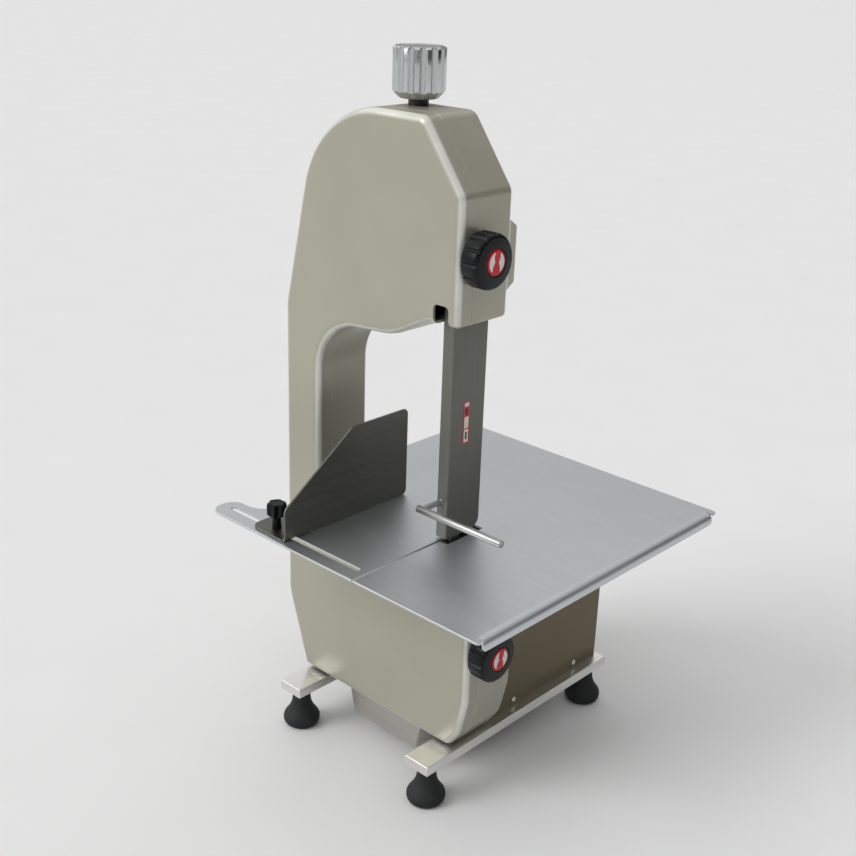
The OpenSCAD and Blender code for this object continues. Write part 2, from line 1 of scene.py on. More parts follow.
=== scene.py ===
"""Table-top bone saw: its pieces, finishes, lights and camera, laid out as an add-on with one operator a piece."""

import json
import math

import bmesh
import bpy
from bpy.props import FloatProperty, FloatVectorProperty, IntProperty, PointerProperty
from bpy.types import Operator, Panel, PropertyGroup
from mathutils import Euler, Matrix, Vector

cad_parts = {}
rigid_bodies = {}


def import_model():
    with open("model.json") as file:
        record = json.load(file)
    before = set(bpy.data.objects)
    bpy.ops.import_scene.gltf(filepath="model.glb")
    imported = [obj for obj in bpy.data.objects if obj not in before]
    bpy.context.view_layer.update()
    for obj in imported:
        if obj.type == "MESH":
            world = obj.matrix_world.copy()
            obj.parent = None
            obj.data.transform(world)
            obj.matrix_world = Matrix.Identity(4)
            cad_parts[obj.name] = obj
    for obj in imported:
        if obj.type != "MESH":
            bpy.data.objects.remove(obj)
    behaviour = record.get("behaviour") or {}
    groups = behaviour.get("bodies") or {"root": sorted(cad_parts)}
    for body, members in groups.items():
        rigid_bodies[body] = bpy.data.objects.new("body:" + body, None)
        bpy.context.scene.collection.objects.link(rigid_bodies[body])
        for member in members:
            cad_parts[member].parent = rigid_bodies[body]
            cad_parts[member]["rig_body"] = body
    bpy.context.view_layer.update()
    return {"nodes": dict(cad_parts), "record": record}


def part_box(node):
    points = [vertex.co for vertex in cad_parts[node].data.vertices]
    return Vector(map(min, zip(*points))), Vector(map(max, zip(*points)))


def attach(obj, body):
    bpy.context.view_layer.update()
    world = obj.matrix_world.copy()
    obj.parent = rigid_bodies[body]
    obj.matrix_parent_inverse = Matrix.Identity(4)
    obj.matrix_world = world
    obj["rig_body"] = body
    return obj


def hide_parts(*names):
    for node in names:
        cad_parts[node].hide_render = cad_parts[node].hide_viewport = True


bl_info = {
    "name": "Bone Saw",
    "version": (1, 0, 0),
    "blender": (4, 5, 0),
    "location": "View3D > Sidebar > Bone Saw",
    "description": "Builds a table-top bone saw round its mechanical frame",
    "category": "Object",
}

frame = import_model()
MM = 0.001
LATHE_SIDES = 64
NODES = frame["nodes"]


def low_mm(node):
    """A node's lowest corner, in millimetres."""
    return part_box(node)[0] / MM


def high_mm(node):
    """A node's highest corner, in millimetres."""
    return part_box(node)[1] / MM


# ---------------------------------------------------------------- settings
def length(name, text, default, low=0.1, high=500.0):
    return FloatProperty(name=name, description=text, default=default, min=low, max=high)


def colour(name, text, default):
    return FloatVectorProperty(name=name, description=text, default=default, subtype="COLOR", size=3,
                               min=0.0, max=1.0)


def share(name, text, default):
    return FloatProperty(name=name, description=text, default=default, min=0.0, max=1.0, subtype="FACTOR")


class CasingSettings(PropertyGroup):
    """Sizes of the casing, in millimetres."""
    door_round: length("Door rounding", "Radius of the door's front edges", 9.0)
    back_round: length("Back rounding", "Radius of the casting's back edges", 5.0)
    door_wall: length("Door wall", "Wall of the door", 3.0)
    cast_wall: length("Casting wall", "Wall of the rear casting", 4.0)
    rim_break: length("Rim break", "Small rounding of both rims at the seam", 0.35)


class SheetSettings(PropertyGroup):
    """Sizes of the folded sheet pieces, in millimetres."""
    bend: length("Bend radius", "Outer radius of the folds", 3.0)
    lip_bend: length("Lip bend", "Outer radius of the table's turned-down edge", 9.0)
    edge: length("Edge break", "Rounding of cut sheet edges", 0.5)


class KnobSettings(PropertyGroup):
    """Shape of the turned and moulded knobs."""
    flutes: IntProperty(name="Flutes", description="Flutes round the tension knob", default=14, min=8, max=24)
    flute_depth: length("Flute depth", "Depth of the tension knob's flutes, mm", 3.0)
    ribs: IntProperty(name="Ribs", description="Ribs round each door knob", default=12, min=6, max=24)
    rib_depth: length("Rib depth", "Depth of the grooves between the ribs, mm", 1.9)
    sides: IntProperty(name="Sides", description="Facets round each knob", default=288, min=96, max=480)


class FinishSettings(PropertyGroup):
    """Colours and roughness of the main finishes."""
    casting: colour("Casting", "Satin casing colour", (0.405, 0.393, 0.315))
    casting_rough: share("Casting roughness", "Roughness of the casing", 0.36)
    table: colour("Table", "Table sheet colour", (0.62, 0.65, 0.67))
    guard: colour("Guard", "Guard and fence sheet colour", (0.155, 0.155, 0.135))
    # Painted reflection: the stainless housing is given the dark brown of the surroundings it mirrors.
    housing: colour("Housing", "Motor housing sheet colour", (0.155, 0.130, 0.085))
    bright: colour("Bright steel", "Rails, rods and screws", (0.80, 0.79, 0.77))
    rubber: colour("Rubber", "Feet", (0.018, 0.021, 0.022))
    black: colour("Black", "Knobs", (0.004, 0.005, 0.006))
    red: colour("Red", "Caps and stop button", (0.55, 0.012, 0.02))
    pale: colour("Pale", "Light marks on caps and label", (0.78, 0.74, 0.72))


class StageSettings(PropertyGroup):
    """Camera, lights and floor."""
    azimuth: FloatProperty(name="Azimuth", description="Camera's bearing round the saw, degrees", default=42.55)
    elevation: FloatProperty(name="Elevation", description="Camera's height angle, degrees", default=21.51)
    roll: FloatProperty(name="Roll", description="Camera roll, degrees", default=1.97)
    lens: FloatProperty(name="Lens", description="Focal length, mm", default=52.8)
    distance: FloatProperty(name="Distance", description="Camera to aim point, metres", default=1.3312)
    aim: FloatVectorProperty(name="Aim", description="Point the camera looks at, metres",
                             default=(0.0, -0.0588, 0.4131), size=3)
    key: FloatProperty(name="Key light", description="Strength of the light from the front left", default=1.35)
    top: FloatProperty(name="Top light", description="Strength of the light from above", default=0.85)
    sky: FloatProperty(name="Sky", description="Strength of the even light all round", default=0.5)
    bright_side: colour("Bright side", "Light that comes from the front left", (1.0, 1.0, 1.0))
    dim_side: colour("Dim side", "Light that comes from the back right", (0.04, 0.037, 0.03))


def settings(name):
    return getattr(bpy.context.scene, "bonesaw_" + name)


# ---------------------------------------------------------------- mesh helpers, in millimetres
def outline(corners, inset=0.0):
    """Points of a closed anticlockwise outline of (u, v, radius) corners, drawn inwards by inset."""
    points = []
    for i, (u, v, radius) in enumerate(corners):
        p = Vector((u, v))
        a = (p - Vector(corners[i - 1][:2])).normalized()
        b = (Vector(corners[(i + 1) % len(corners)][:2]) - p).normalized()
        na, nb = Vector((-a.y, a.x)), Vector((-b.y, b.x))
        cross = a.x * b.y - a.y * b.x
        p = p + (na + nb) * inset / (1 + na.dot(nb))
        r = max(radius - inset, 0.25) if cross > 0 else radius + inset
        bend = math.atan2(cross, a.dot(b))
        side = math.copysign(1, bend)
        centre = p - a * r * math.tan(abs(bend) / 2) + na * r * side
        spoke = -na * r * side
        steps = 6 if radius < 15 else 20
        for k in range(steps + 1):
            t = bend * k / steps
            points.append(centre + Vector((spoke.x * math.cos(t) - spoke.y * math.sin(t),
                                           spoke.x * math.sin(t) + spoke.y * math.cos(t))))
    return points


def rect(u0, v0, u1, v1, radius):
    """Corners of an upright rectangle, for outline and slab."""
    return [(u0, v0, radius), (u1, v0, radius), (u1, v1, radius), (u0, v1, radius)]


def in_xz(points, y):
    return [Vector((p.x, y, p.y)) for p in points]


def in_xy(points, z):
    return [Vector((p.x, p.y, z)) for p in points]


def in_yz(points, x):
    return [Vector((x, p.x, p.y)) for p in points]


def loft(bm, rings):
    """Joins rings of equal length into a closed skin."""
    loops = [[bm.verts.new(p) for p in ring] for ring in rings]
    n = len(loops[0])
    for low, high in zip(loops, loops[1:]):
        for i in range(n):
            bm.faces.new((low[i], low[(i + 1) % n], high[(i + 1) % n], high[i]))
    bm.faces.new(list(reversed(loops[0])))
    bm.faces.new(loops[-1])


def slab(bm, corners, place, low, high, edge=0.0):
    """A flat piece with its outline in one plane, from low to high across it, with rounded edges."""
    rings = []
    arcs = 3
    if edge:
        for k in range(arcs):
            t = math.pi / 2 * k / arcs
            rings.append(place(outline(corners, edge * (1 - math.sin(t))), low + edge * (1 - math.cos(t))))
    rings.append(place(outline(corners), low + edge))
    rings.append(place(outline(corners), high - edge))
    if edge:
        for k in reversed(range(arcs)):
            t = math.pi / 2 * k / arcs
            rings.append(place(outline(corners, edge * (1 - math.sin(t))), high - edge * (1 - math.cos(t))))
    loft(bm, rings)


def box(bm, low, high):
    verts = bmesh.ops.create_cube(bm, size=1.0)["verts"]
    low, high = Vector(low), Vector(high)
    size = high - low
    for v in verts:
        v.co = Vector(((v.co.x + 0.5) * size.x + low.x, (v.co.y + 0.5) * size.y + low.y,
                       (v.co.z + 0.5) * size.z + low.z))


def axis_frame(start, direction):
    """A matrix that takes +Z at the origin to direction at start."""
    turn = Vector((0, 0, 1)).rotation_difference(Vector(direction)).to_matrix().to_4x4()
    return Matrix.Translation(Vector(start)) @ turn


def turned(bm, start, direction, profile, sides=LATHE_SIDES, shape=None):
    """A piece turned on a lathe: profile is (along, radius) points; shape may cut the radius at an angle."""
    at = axis_frame(start, direction)
    rings = []
    for along, radius in profile:
        ring = []
        for i in range(sides):
            t = 2 * math.pi * i / sides
            r = radius if shape is None else min(radius, shape(t, along))
            ring.append(at @ Vector((r * math.cos(t), r * math.sin(t), along)))
        rings.append(ring)
    loft(bm, rings)


def rod(bm, start, end, radius, edge=0.4, sides=48):
    start, end = Vector(start), Vector(end)
    span = (end - start).length
    turned(bm, start, end - start,
           [(0, radius - edge), (edge * 0.4, radius - edge * 0.3), (edge, radius),
            (span - edge, radius), (span - edge * 0.4, radius - edge * 0.3), (span, radius - edge)], sides)


def mesh_object(name, bm, smooth=38.0):
    """Turns a mesh drawn in millimetres into an object in metres, with smooth curves and crisp edges."""
    bmesh.ops.remove_doubles(bm, verts=bm.verts, dist=0.0005)
    bmesh.ops.recalc_face_normals(bm, faces=bm.faces)
    bm.transform(Matrix.Scale(MM, 4))
    mesh = bpy.data.meshes.new(name)
    bm.to_mesh(mesh)
    bm.free()
    obj = bpy.data.objects.new(name, mesh)
    bpy.context.scene.collection.objects.link(obj)
    shade(obj, smooth)
    return obj


def shade(obj, smooth):
    """Smooth shading up to an angle, sharp beyond it."""
    mesh = obj.data
    mesh.shade_smooth()
    mesh.set_sharp_from_angle(angle=math.radians(smooth))


def carve(obj, draw, operation="DIFFERENCE", smooth=38.0):
    """Cuts away, or joins on, the shape that draw makes."""
    bm = bmesh.new()
    draw(bm)
    tool = mesh_object("tool", bm)
    modifier = obj.modifiers.new("cut", "BOOLEAN")
    modifier.operation = operation
    modifier.solver = "EXACT"
    modifier.use_self = True
    modifier.object = tool
    bpy.context.view_layer.update()
    result = bpy.data.meshes.new_from_object(obj.evaluated_get(bpy.context.evaluated_depsgraph_get()))
    obj.modifiers.clear()
    old = obj.data
    name = old.name
    obj.data = result
    bpy.data.meshes.remove(old)
    result.name = name
    tool_mesh = tool.data
    bpy.data.objects.remove(tool)
    bpy.data.meshes.remove(tool_mesh)
    shade(obj, smooth)


def soften(obj, width, segments=2, angle=40.0):
    """Rounds the crisp edges a little, as any real edge is."""
    modifier = obj.modifiers.new("edge", "BEVEL")
    modifier.width = width * MM
    modifier.segments = segments
    modifier.limit_method = "ANGLE"
    modifier.angle_limit = math.radians(angle)
    modifier.harden_normals = False
    modifier.miter_outer = "MITER_ARC"


def flatten(obj):
    """Keeps large flat faces flat next to rounded edges."""
    modifier = obj.modifiers.new("normals", "WEIGHTED_NORMAL")
    modifier.keep_sharp = True
    modifier.weight = 80


def settle(obj, body, material, nodes=()):
    """Gives a piece its finish and its body, and lets it stand for CAD nodes."""
    obj.data.materials.clear()
    obj.data.materials.append(material)
    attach(obj, body)
    if nodes:
        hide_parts(*nodes)
    return obj


def body_of(node):
    return NODES[node]["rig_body"]


# ---------------------------------------------------------------- shader node groups
def new_group(name, inputs, outputs):
    group = bpy.data.node_groups.new(name, "ShaderNodeTree")
    for label, kind, default in inputs:
        socket = group.interface.new_socket(label, in_out="INPUT", socket_type=kind)
        socket.default_value = default
    for label, kind in outputs:
        group.interface.new_socket(label, in_out="OUTPUT", socket_type=kind)
    return group, group.nodes.new("NodeGroupInput"), group.nodes.new("NodeGroupOutput")


def calc(nodes, links, operation, a, b=0.0, clamp=False):
    """A Math node; each side is a number or another node's output."""
    node = nodes.new("ShaderNodeMath")
    node.operation = operation
    node.use_clamp = clamp
    for socket, value in zip(node.inputs, (a, b)):
        if isinstance(value, float):
            socket.default_value = value
        else:
            links.new(value, socket)
    return node.outputs[0]


def noise_at(nodes, links, place, scale, detail):
    """Noise at a place; its scale is a number or another node's output."""
    node = nodes.new("ShaderNodeTexNoise")
    node.inputs["Detail"].default_value = detail
    links.new(place, node.inputs["Vector"])
    if isinstance(scale, float):
        node.inputs["Scale"].default_value = scale
    else:
        links.new(scale, node.inputs["Scale"])
    return node


def brushed_grain():
    """Fine streaks along one direction, with their height and a broad unevenness."""
    name = "Brushed Grain"
    if name in bpy.data.node_groups:
        return bpy.data.node_groups[name]
    group, source, out = new_group(
        name, [("Stretch", "NodeSocketVector", (900.0, 900.0, 12.0)), ("Patch Scale", "NodeSocketFloat", 9.0)],
        [("Streak", "NodeSocketFloat"), ("Patch", "NodeSocketFloat")])
    nodes, links = group.nodes, group.links
    place = nodes.new("ShaderNodeTexCoord")
    scale = nodes.new("ShaderNodeVectorMath")
    scale.operation = "MULTIPLY"
    links.new(place.outputs["Object"], scale.inputs[0])
    links.new(source.outputs["Stretch"], scale.inputs[1])
    streak = noise_at(nodes, links, scale.outputs[0], 1.0, 3.0)
    streak.inputs["Roughness"].default_value = 0.6
    patch = noise_at(nodes, links, place.outputs["Object"], source.outputs["Patch Scale"], 2.0)
    links.new(streak.outputs["Fac"], out.inputs["Streak"])
    links.new(patch.outputs["Fac"], out.inputs["Patch"])
    return group


def cast_texture():
    """Very fine peening, as on a bead-blasted or lacquered casting."""
    name = "Cast Texture"
    if name in bpy.data.node_groups:
        return bpy.data.node_groups[name]
    group, source, out = new_group(name, [("Grain Scale", "NodeSocketFloat", 900.0)],
                                   [("Height", "NodeSocketFloat"), ("Mottle", "NodeSocketFloat")])
    nodes, links = group.nodes, group.links
    place = nodes.new("ShaderNodeTexCoord")
    fine = noise_at(nodes, links, place.outputs["Object"], source.outputs["Grain Scale"], 4.0)
    broad = noise_at(nodes, links, place.outputs["Object"], 6.0, 3.0)
    links.new(fine.outputs["Fac"], out.inputs["Height"])
    links.new(broad.outputs["Fac"], out.inputs["Mottle"])
    return group


def worn_and_highlit_edges():
    """A mask that is 1 on crisp edges and 0 on flat faces; the finishes use it for edge wear and for a painted
    highlight.
    """
    name = "Worn Edges"
    if name in bpy.data.node_groups:
        return bpy.data.node_groups[name]
    group, source, out = new_group(name, [("Gain", "NodeSocketFloat", 6.0)], [("Mask", "NodeSocketFloat")])
    nodes, links = group.nodes, group.links
    soft = nodes.new("ShaderNodeBevel")
    soft.samples = 4
    soft.inputs["Radius"].default_value = 0.0005
    plain = nodes.new("ShaderNodeNewGeometry")
    dot = nodes.new("ShaderNodeVectorMath")
    dot.operation = "DOT_PRODUCT"
    links.new(soft.outputs["Normal"], dot.inputs[0])
    links.new(plain.outputs["Normal"], dot.inputs[1])
    away = calc(nodes, links, "SUBTRACT", 1.0, dot.outputs["Value"])
    links.new(calc(nodes, links, "MULTIPLY", away, source.outputs["Gain"], True), out.inputs["Mask"])
    return group


def painted_rounding_highlight():
    """A mask that is 1 where a casing face rounds from its front or back into its side, for a painted highlight along
    the roundings.
    """
    name = "Rubbed Rounding"
    if name in bpy.data.node_groups:
        return bpy.data.node_groups[name]
    group, source, out = new_group(name, [("Amount", "NodeSocketFloat", 1.0)], [("Mask", "NodeSocketFloat")])
    nodes, links = group.nodes, group.links
    place = nodes.new("ShaderNodeTexCoord")
    split = nodes.new("ShaderNodeSeparateXYZ")
    links.new(place.outputs["Normal"], split.inputs[0])
    facing = calc(nodes, links, "ABSOLUTE", split.outputs["Y"])
    noise = noise_at(nodes, links, place.outputs["Object"], 25.0, 2.0)
    value = source.outputs["Amount"]
    for mask, start, end, low, smooth in (
            (facing, 0.10, 0.45, 0.0, "SMOOTHSTEP"),
            (facing, 0.99, 0.80, 0.0, "SMOOTHSTEP"),
            (noise.outputs["Fac"], 0.25, 0.60, 0.65, "LINEAR")):
        ramp = nodes.new("ShaderNodeMapRange")
        ramp.interpolation_type = smooth
        ramp.inputs["From Min"].default_value = start
        ramp.inputs["From Max"].default_value = end
        ramp.inputs["To Min"].default_value = low
        links.new(mask, ramp.inputs["Value"])
        value = calc(nodes, links, "MULTIPLY", value, ramp.outputs["Result"])
    links.new(value, out.inputs["Mask"])
    return group


def settled_dust():
    """A mask of light dust on faces that look up, broken by noise."""
    name = "Settled Dust"
    if name in bpy.data.node_groups:
        return bpy.data.node_groups[name]
    group, source, out = new_group(name, [("Amount", "NodeSocketFloat", 0.3)], [("Mask", "NodeSocketFloat")])
    nodes, links = group.nodes, group.links
    place = nodes.new("ShaderNodeTexCoord")
    split = nodes.new("ShaderNodeSeparateXYZ")
    links.new(place.outputs["Normal"], split.inputs[0])
    noise = noise_at(nodes, links, place.outputs["Object"], 160.0, 5.0)
    up = calc(nodes, links, "MULTIPLY", split.outputs["Z"], noise.outputs["Fac"], True)
    links.new(calc(nodes, links, "MULTIPLY", up, source.outputs["Amount"]), out.inputs["Mask"])
    return group


# ---------------------------------------------------------------- materials
def made(name):
    """The finish of this name that a maker has built; the frame's own plain materials keep their bare names."""
    return bpy.data.materials.get(name + "_finish")


def blank(name):
    """A new material with its shader, or None if it is there already."""
    if made(name):
        return None, None, None, None
    material = bpy.data.materials.new(name + "_finish")
    material.use_nodes = True
    nodes, links = material.node_tree.nodes, material.node_tree.links
    return material, nodes, links, nodes["Principled BSDF"]


def place_group(nodes, group, **values):
    node = nodes.new("ShaderNodeGroup")
    node.node_tree = group
    for label, value in values.items():
        node.inputs[label.replace("_", " ")].default_value = value
    return node


def tint(nodes, links, mask, low, high, start=0.3, end=0.7):
    """A colour that runs from low to high as the mask rises."""
    ramp = nodes.new("ShaderNodeMapRange")
    ramp.inputs["From Min"].default_value = start
    ramp.inputs["From Max"].default_value = end
    links.new(mask, ramp.inputs["Value"])
    mix = nodes.new("ShaderNodeMix")
    mix.data_type = "RGBA"
    mix.inputs["A"].default_value = (*low, 1.0)
    mix.inputs["B"].default_value = (*high, 1.0)
    links.new(ramp.outputs["Result"], mix.inputs["Factor"])
    return mix.outputs["Result"]


def spread(nodes, links, mask, low, high, start=0.3, end=0.7):
    """A number that runs from low to high as the mask rises."""
    ramp = nodes.new("ShaderNodeMapRange")
    ramp.inputs["From Min"].default_value = start
    ramp.inputs["From Max"].default_value = end
    ramp.inputs["To Min"].default_value = low
    ramp.inputs["To Max"].default_value = high
    links.new(mask, ramp.inputs["Value"])
    return ramp.outputs["Result"]


def overlay(nodes, links, base, mask, over):
    """base with a plain colour laid over it where the mask says."""
    mix = nodes.new("ShaderNodeMix")
    mix.data_type = "RGBA"
    mix.inputs["B"].default_value = (*over, 1.0)
    links.new(base, mix.inputs["A"])
    links.new(mask, mix.inputs["Factor"])
    return mix.outputs["Result"]


def bump(nodes, links, height, shader, distance, strength=0.5):
    node = nodes.new("ShaderNodeBump")
    node.inputs["Strength"].default_value = strength
    node.inputs["Distance"].default_value = distance * MM
    links.new(height, node.inputs["Height"])
    links.new(node.outputs["Normal"], shader.inputs["Normal"])


def shade_of(rgb, factor):
    return tuple(min(1.0, c * factor) for c in rgb)


def brushed(name, rgb, stretch, rough=(0.28, 0.40), contrast=0.10, depth=0.02, edge_wear_and_highlight=2.2, metallic=1.0):
    """Brushed or rolled metal: streaks in colour, roughness and height, and edges painted brighter, partly as edge
    wear and partly as a painted highlight.
    """
    material, nodes, links, shader = blank(name)
    if material is None:
        return made(name)
    grain = place_group(nodes, brushed_grain(), Stretch=stretch)
    # Crisp edges painted brighter: partly edge wear, partly a painted highlight.
    edges = place_group(nodes, worn_and_highlit_edges(), Gain=4.0)
    base = tint(nodes, links, grain.outputs["Streak"], shade_of(rgb, 1 - contrast), shade_of(rgb, 1 + contrast))
    base = overlay(nodes, links, base, edges.outputs["Mask"], shade_of(rgb, edge_wear_and_highlight))
    links.new(base, shader.inputs["Base Color"])
    blend = calc(nodes, links, "ADD", grain.outputs["Streak"], grain.outputs["Patch"])
    links.new(spread(nodes, links, blend, *rough, 0.7, 1.3), shader.inputs["Roughness"])
    bump(nodes, links, grain.outputs["Streak"], shader, depth)
    shader.inputs["Metallic"].default_value = metallic
    return material


def casting_finish():
    """Satin clear-coated casting: warm grey metal under a thin coat, faintly uneven, with a painted highlight on its
    roundings and crisp edges painted brighter, partly as edge wear and partly as a painted highlight.
    """
    finish = settings("finish")
    material, nodes, links, shader = blank("satin_casting")
    if material is None:
        return made("satin_casting")
    rgb = tuple(finish.casting)
    cast = place_group(nodes, cast_texture(), Grain_Scale=1400.0)
    grain = place_group(nodes, brushed_grain(), Stretch=CASTING_GRAIN, Patch_Scale=5.0)
    base = tint(nodes, links, cast.outputs["Mottle"], shade_of(rgb, 0.93), shade_of(rgb, 1.06))
    # Crisp edges painted brighter: partly edge wear, partly a painted highlight.
    edges = place_group(nodes, worn_and_highlit_edges(), Gain=2.0)
    base = overlay(nodes, links, base, edges.outputs["Mask"], shade_of(rgb, 1.5))
    # Painted highlight: the roundings from front and back into the sides are painted near white.
    rounding_highlight = place_group(nodes, painted_rounding_highlight(), Amount=0.8)
    base = overlay(nodes, links, base, rounding_highlight.outputs["Mask"], (0.86, 0.85, 0.80))
    links.new(base, shader.inputs["Base Color"])
    rough = finish.casting_rough
    links.new(spread(nodes, links, grain.outputs["Patch"], rough - 0.05, rough + 0.06), shader.inputs["Roughness"])
    heights = calc(nodes, links, "ADD", cast.outputs["Height"], grain.outputs["Streak"])
    bump(nodes, links, heights, shader, 0.02, 0.35)
    shader.inputs["Metallic"].default_value = 0.30
    shader.inputs["Specular IOR Level"].default_value = 0.35
    shader.inputs["Coat Weight"].default_value = 0.25
    shader.inputs["Coat Roughness"].default_value = 0.22
    return material


def machined(name, rgb, rough=0.45, metallic=1.0):
    """Machined or cast inner metal: fine texture, uneven tone and clean edges painted brighter, partly as edge wear
    and partly as a painted highlight.
    """
    material, nodes, links, shader = blank(name)
    if material is None:
        return made(name)
    cast = place_group(nodes, cast_texture(), Grain_Scale=520.0)
    # Crisp edges painted brighter: partly edge wear, partly a painted highlight.
    edges = place_group(nodes, worn_and_highlit_edges(), Gain=4.0)
    base = tint(nodes, links, cast.outputs["Mottle"], shade_of(rgb, 0.8), shade_of(rgb, 1.12))
    base = overlay(nodes, links, base, edges.outputs["Mask"], shade_of(rgb, 1.7))
    links.new(base, shader.inputs["Base Color"])
    links.new(spread(nodes, links, cast.outputs["Height"], rough - 0.06, rough + 0.08), shader.inputs["Roughness"])
    bump(nodes, links, cast.outputs["Height"], shader, 0.05)
    shader.inputs["Metallic"].default_value = metallic
    return material


def moulded(name, rgb, rough=0.3, dust=0.25, grain=900.0, depth=0.02, dusty=(0.35, 0.34, 0.32), gloss=0.3):
    """Moulded plastic or rubber: fine skin texture and a trace of dust."""
    material, nodes, links, shader = blank(name)
    if material is None:
        return made(name)
    skin = place_group(nodes, cast_texture(), Grain_Scale=grain)
    film = place_group(nodes, settled_dust(), Amount=dust)
    base = tint(nodes, links, skin.outputs["Mottle"], shade_of(rgb, 0.8), shade_of(rgb, 1.25))
    base = overlay(nodes, links, base, film.outputs["Mask"], dusty)
    links.new(base, shader.inputs["Base Color"])
    links.new(spread(nodes, links, skin.outputs["Mottle"], rough - 0.05, rough + 0.09), shader.inputs["Roughness"])
    bump(nodes, links, skin.outputs["Height"], shader, depth)
    shader.inputs["Specular IOR Level"].default_value = gloss
    return material


# Noise scale along X, Y and Z: low along the streaks, high across them
ALONG_X, ALONG_Y, ALONG_Z = (12.0, 900.0, 900.0), (900.0, 14.0, 900.0), (900.0, 900.0, 14.0)
TABLE_GRAIN = (14.0, 1100.0, 1100.0)
HOUSING_GRAIN = (1000.0, 8.0, 1000.0)
ROD_GRAIN = (900.0, 30.0, 900.0)
HANDLE_GRAIN = (30.0, 900.0, 900.0)
KNOB_GRAIN = (500.0, 500.0, 40.0)
BLADE_GRAIN = (900.0, 900.0, 20.0)
CASTING_GRAIN = (700.0, 700.0, 30.0)


def finish_for(slot):
    """The material of each of the record's slots."""
    finish = settings("finish")
    bright, guard = tuple(finish.bright), tuple(finish.guard)
    makers = {
        "satin_casting": casting_finish,
        "table_steel": lambda: brushed("table_steel", tuple(finish.table), TABLE_GRAIN, (0.40, 0.50), 0.07),
        "bright_steel": lambda: brushed("bright_steel", bright, ROD_GRAIN, (0.24, 0.36), 0.08),
        # Painted reflection: the stainless housing's colour is the dark brown of the surroundings it mirrors.
        "housing_steel": lambda: brushed("housing_steel", tuple(finish.housing), HOUSING_GRAIN, (0.16, 0.26), 0.06),
        "guard_steel": lambda: brushed("guard_steel", guard, ALONG_Z, (0.40, 0.50), 0.10, metallic=0.45),
        # Painted highlight: the fence's cut edges are painted nearly white.
        "fence_steel": lambda: brushed("fence_steel", shade_of(guard, 1.05), ALONG_Y, (0.30, 0.42), 0.12, 0.02, 8.0),
        "drawer_steel": lambda: brushed("drawer_steel", (0.50, 0.475, 0.45), ALONG_X, (0.34, 0.46)),
        "knob_metal": lambda: brushed("knob_metal", (0.58, 0.60, 0.60), KNOB_GRAIN, (0.20, 0.30), 0.04, 0.01),
        "dark_metal": lambda: machined("dark_metal", (0.05, 0.05, 0.05), 0.4, 0.7),
        "machine_iron": lambda: machined("machine_iron", (0.24, 0.25, 0.26), 0.42),
        "blade_steel": lambda: brushed("blade_steel", (0.50, 0.51, 0.52), BLADE_GRAIN, (0.20, 0.32)),
        "guide_brass": lambda: machined("guide_brass", (0.55, 0.40, 0.16), 0.32),
        "foot_rubber": lambda: moulded("foot_rubber", tuple(finish.rubber), 0.60, 0.08, 700.0, 0.05, gloss=0.25),
        "knob_plastic": lambda: moulded("knob_plastic", tuple(finish.black), 0.30, 0.02, 1200.0, 0.01, gloss=0.22),
        "cap_red": lambda: moulded("cap_red", tuple(finish.red), 0.25, 0.03, 1200.0, 0.01, (0.6, 0.4, 0.4)),
        "black_plastic": lambda: moulded("black_plastic", (0.018, 0.018, 0.020), 0.42, 0.2, 600.0, 0.06),
        "button_green": lambda: moulded("button_green", (0.01, 0.22, 0.05), 0.25, 0.05),
        "button_red": lambda: moulded("button_red", tuple(finish.red), 0.25, 0.05),
    }
    return makers[slot]()


def slot_of(node):
    for part in frame["record"]["subparts"]:
        if part["node"] == node:
            return part["material_slot"]
    raise KeyError(node)


def dress(*nodes, width=0.0):
    """Keeps CAD nodes as they are, with their finish and, where asked, softened edges."""
    for node in nodes:
        obj = NODES[node]
        material = finish_for(slot_of(node))
        if not obj.material_slots:
            obj.data.materials.append(material)
        for place in obj.material_slots:
            place.material = material
        if width:
            weld = obj.modifiers.new("weld", "WELD")
            weld.merge_threshold = 0.00001
            soften(obj, width, 2, 35.0)


# ---------------------------------------------------------------- places taken from the frame, mm
DOOR_LOW, DOOR_HIGH = low_mm("door_shell"), high_mm("door_shell")
CAST_HIGH = high_mm("rear_casting")
SEAM_GAP = 0.4
SEAM_Y = DOOR_HIGH.y + SEAM_GAP
BASE_Z = DOOR_LOW.z
HEAD_Z = DOOR_HIGH.z
LEFT_X, RIGHT_X = DOOR_LOW.x, DOOR_HIGH.x
TABLE_Z = high_mm("table_top").z
KNOB_GAP = 0.6                               # between a door knob and the casing
HEAD_RIGHT = low_mm("head_lock_knob").x - KNOB_GAP
ARM_Z = high_mm("motor_housing").z
HEAD_FLOOR = 541.0                           # underside of the head beside the guard
THROAT_X = -139.0                            # the column's side of the throat
GUARD_GAP_X = (30.0, 50.5)                   # notch in the head that the guard slides up through
FENCE_SLOT = (-174.0, -189.5, 29.5, -182.5)  # x, y of the long slot's two ends
BLADE_OPENING_X = 37.6                       # left side of the blade's opening in the table


def case_corners():
    """The C outline seen from the front: (x, z, radius), anticlockwise."""
    base = [(LEFT_X + 31.5, BASE_Z, 8), (RIGHT_X - 24, BASE_Z, 8), (RIGHT_X - 10, BASE_Z + 20, 45),
            (RIGHT_X, BASE_Z + 64, 60), (RIGHT_X, ARM_Z, 8)]
    throat = [(THROAT_X, ARM_Z, 8), (THROAT_X, 505, 60), (-29, 514, 80), (21, 540, 25)]
    head = [(HEAD_RIGHT, HEAD_FLOOR, 6), (HEAD_RIGHT, 671, 14), (10, HEAD_Z, 14), (-144.6, HEAD_Z, 115)]
    column = [(LEFT_X, 517, 60), (LEFT_X, 156, 60)]
    return base + throat + head + column


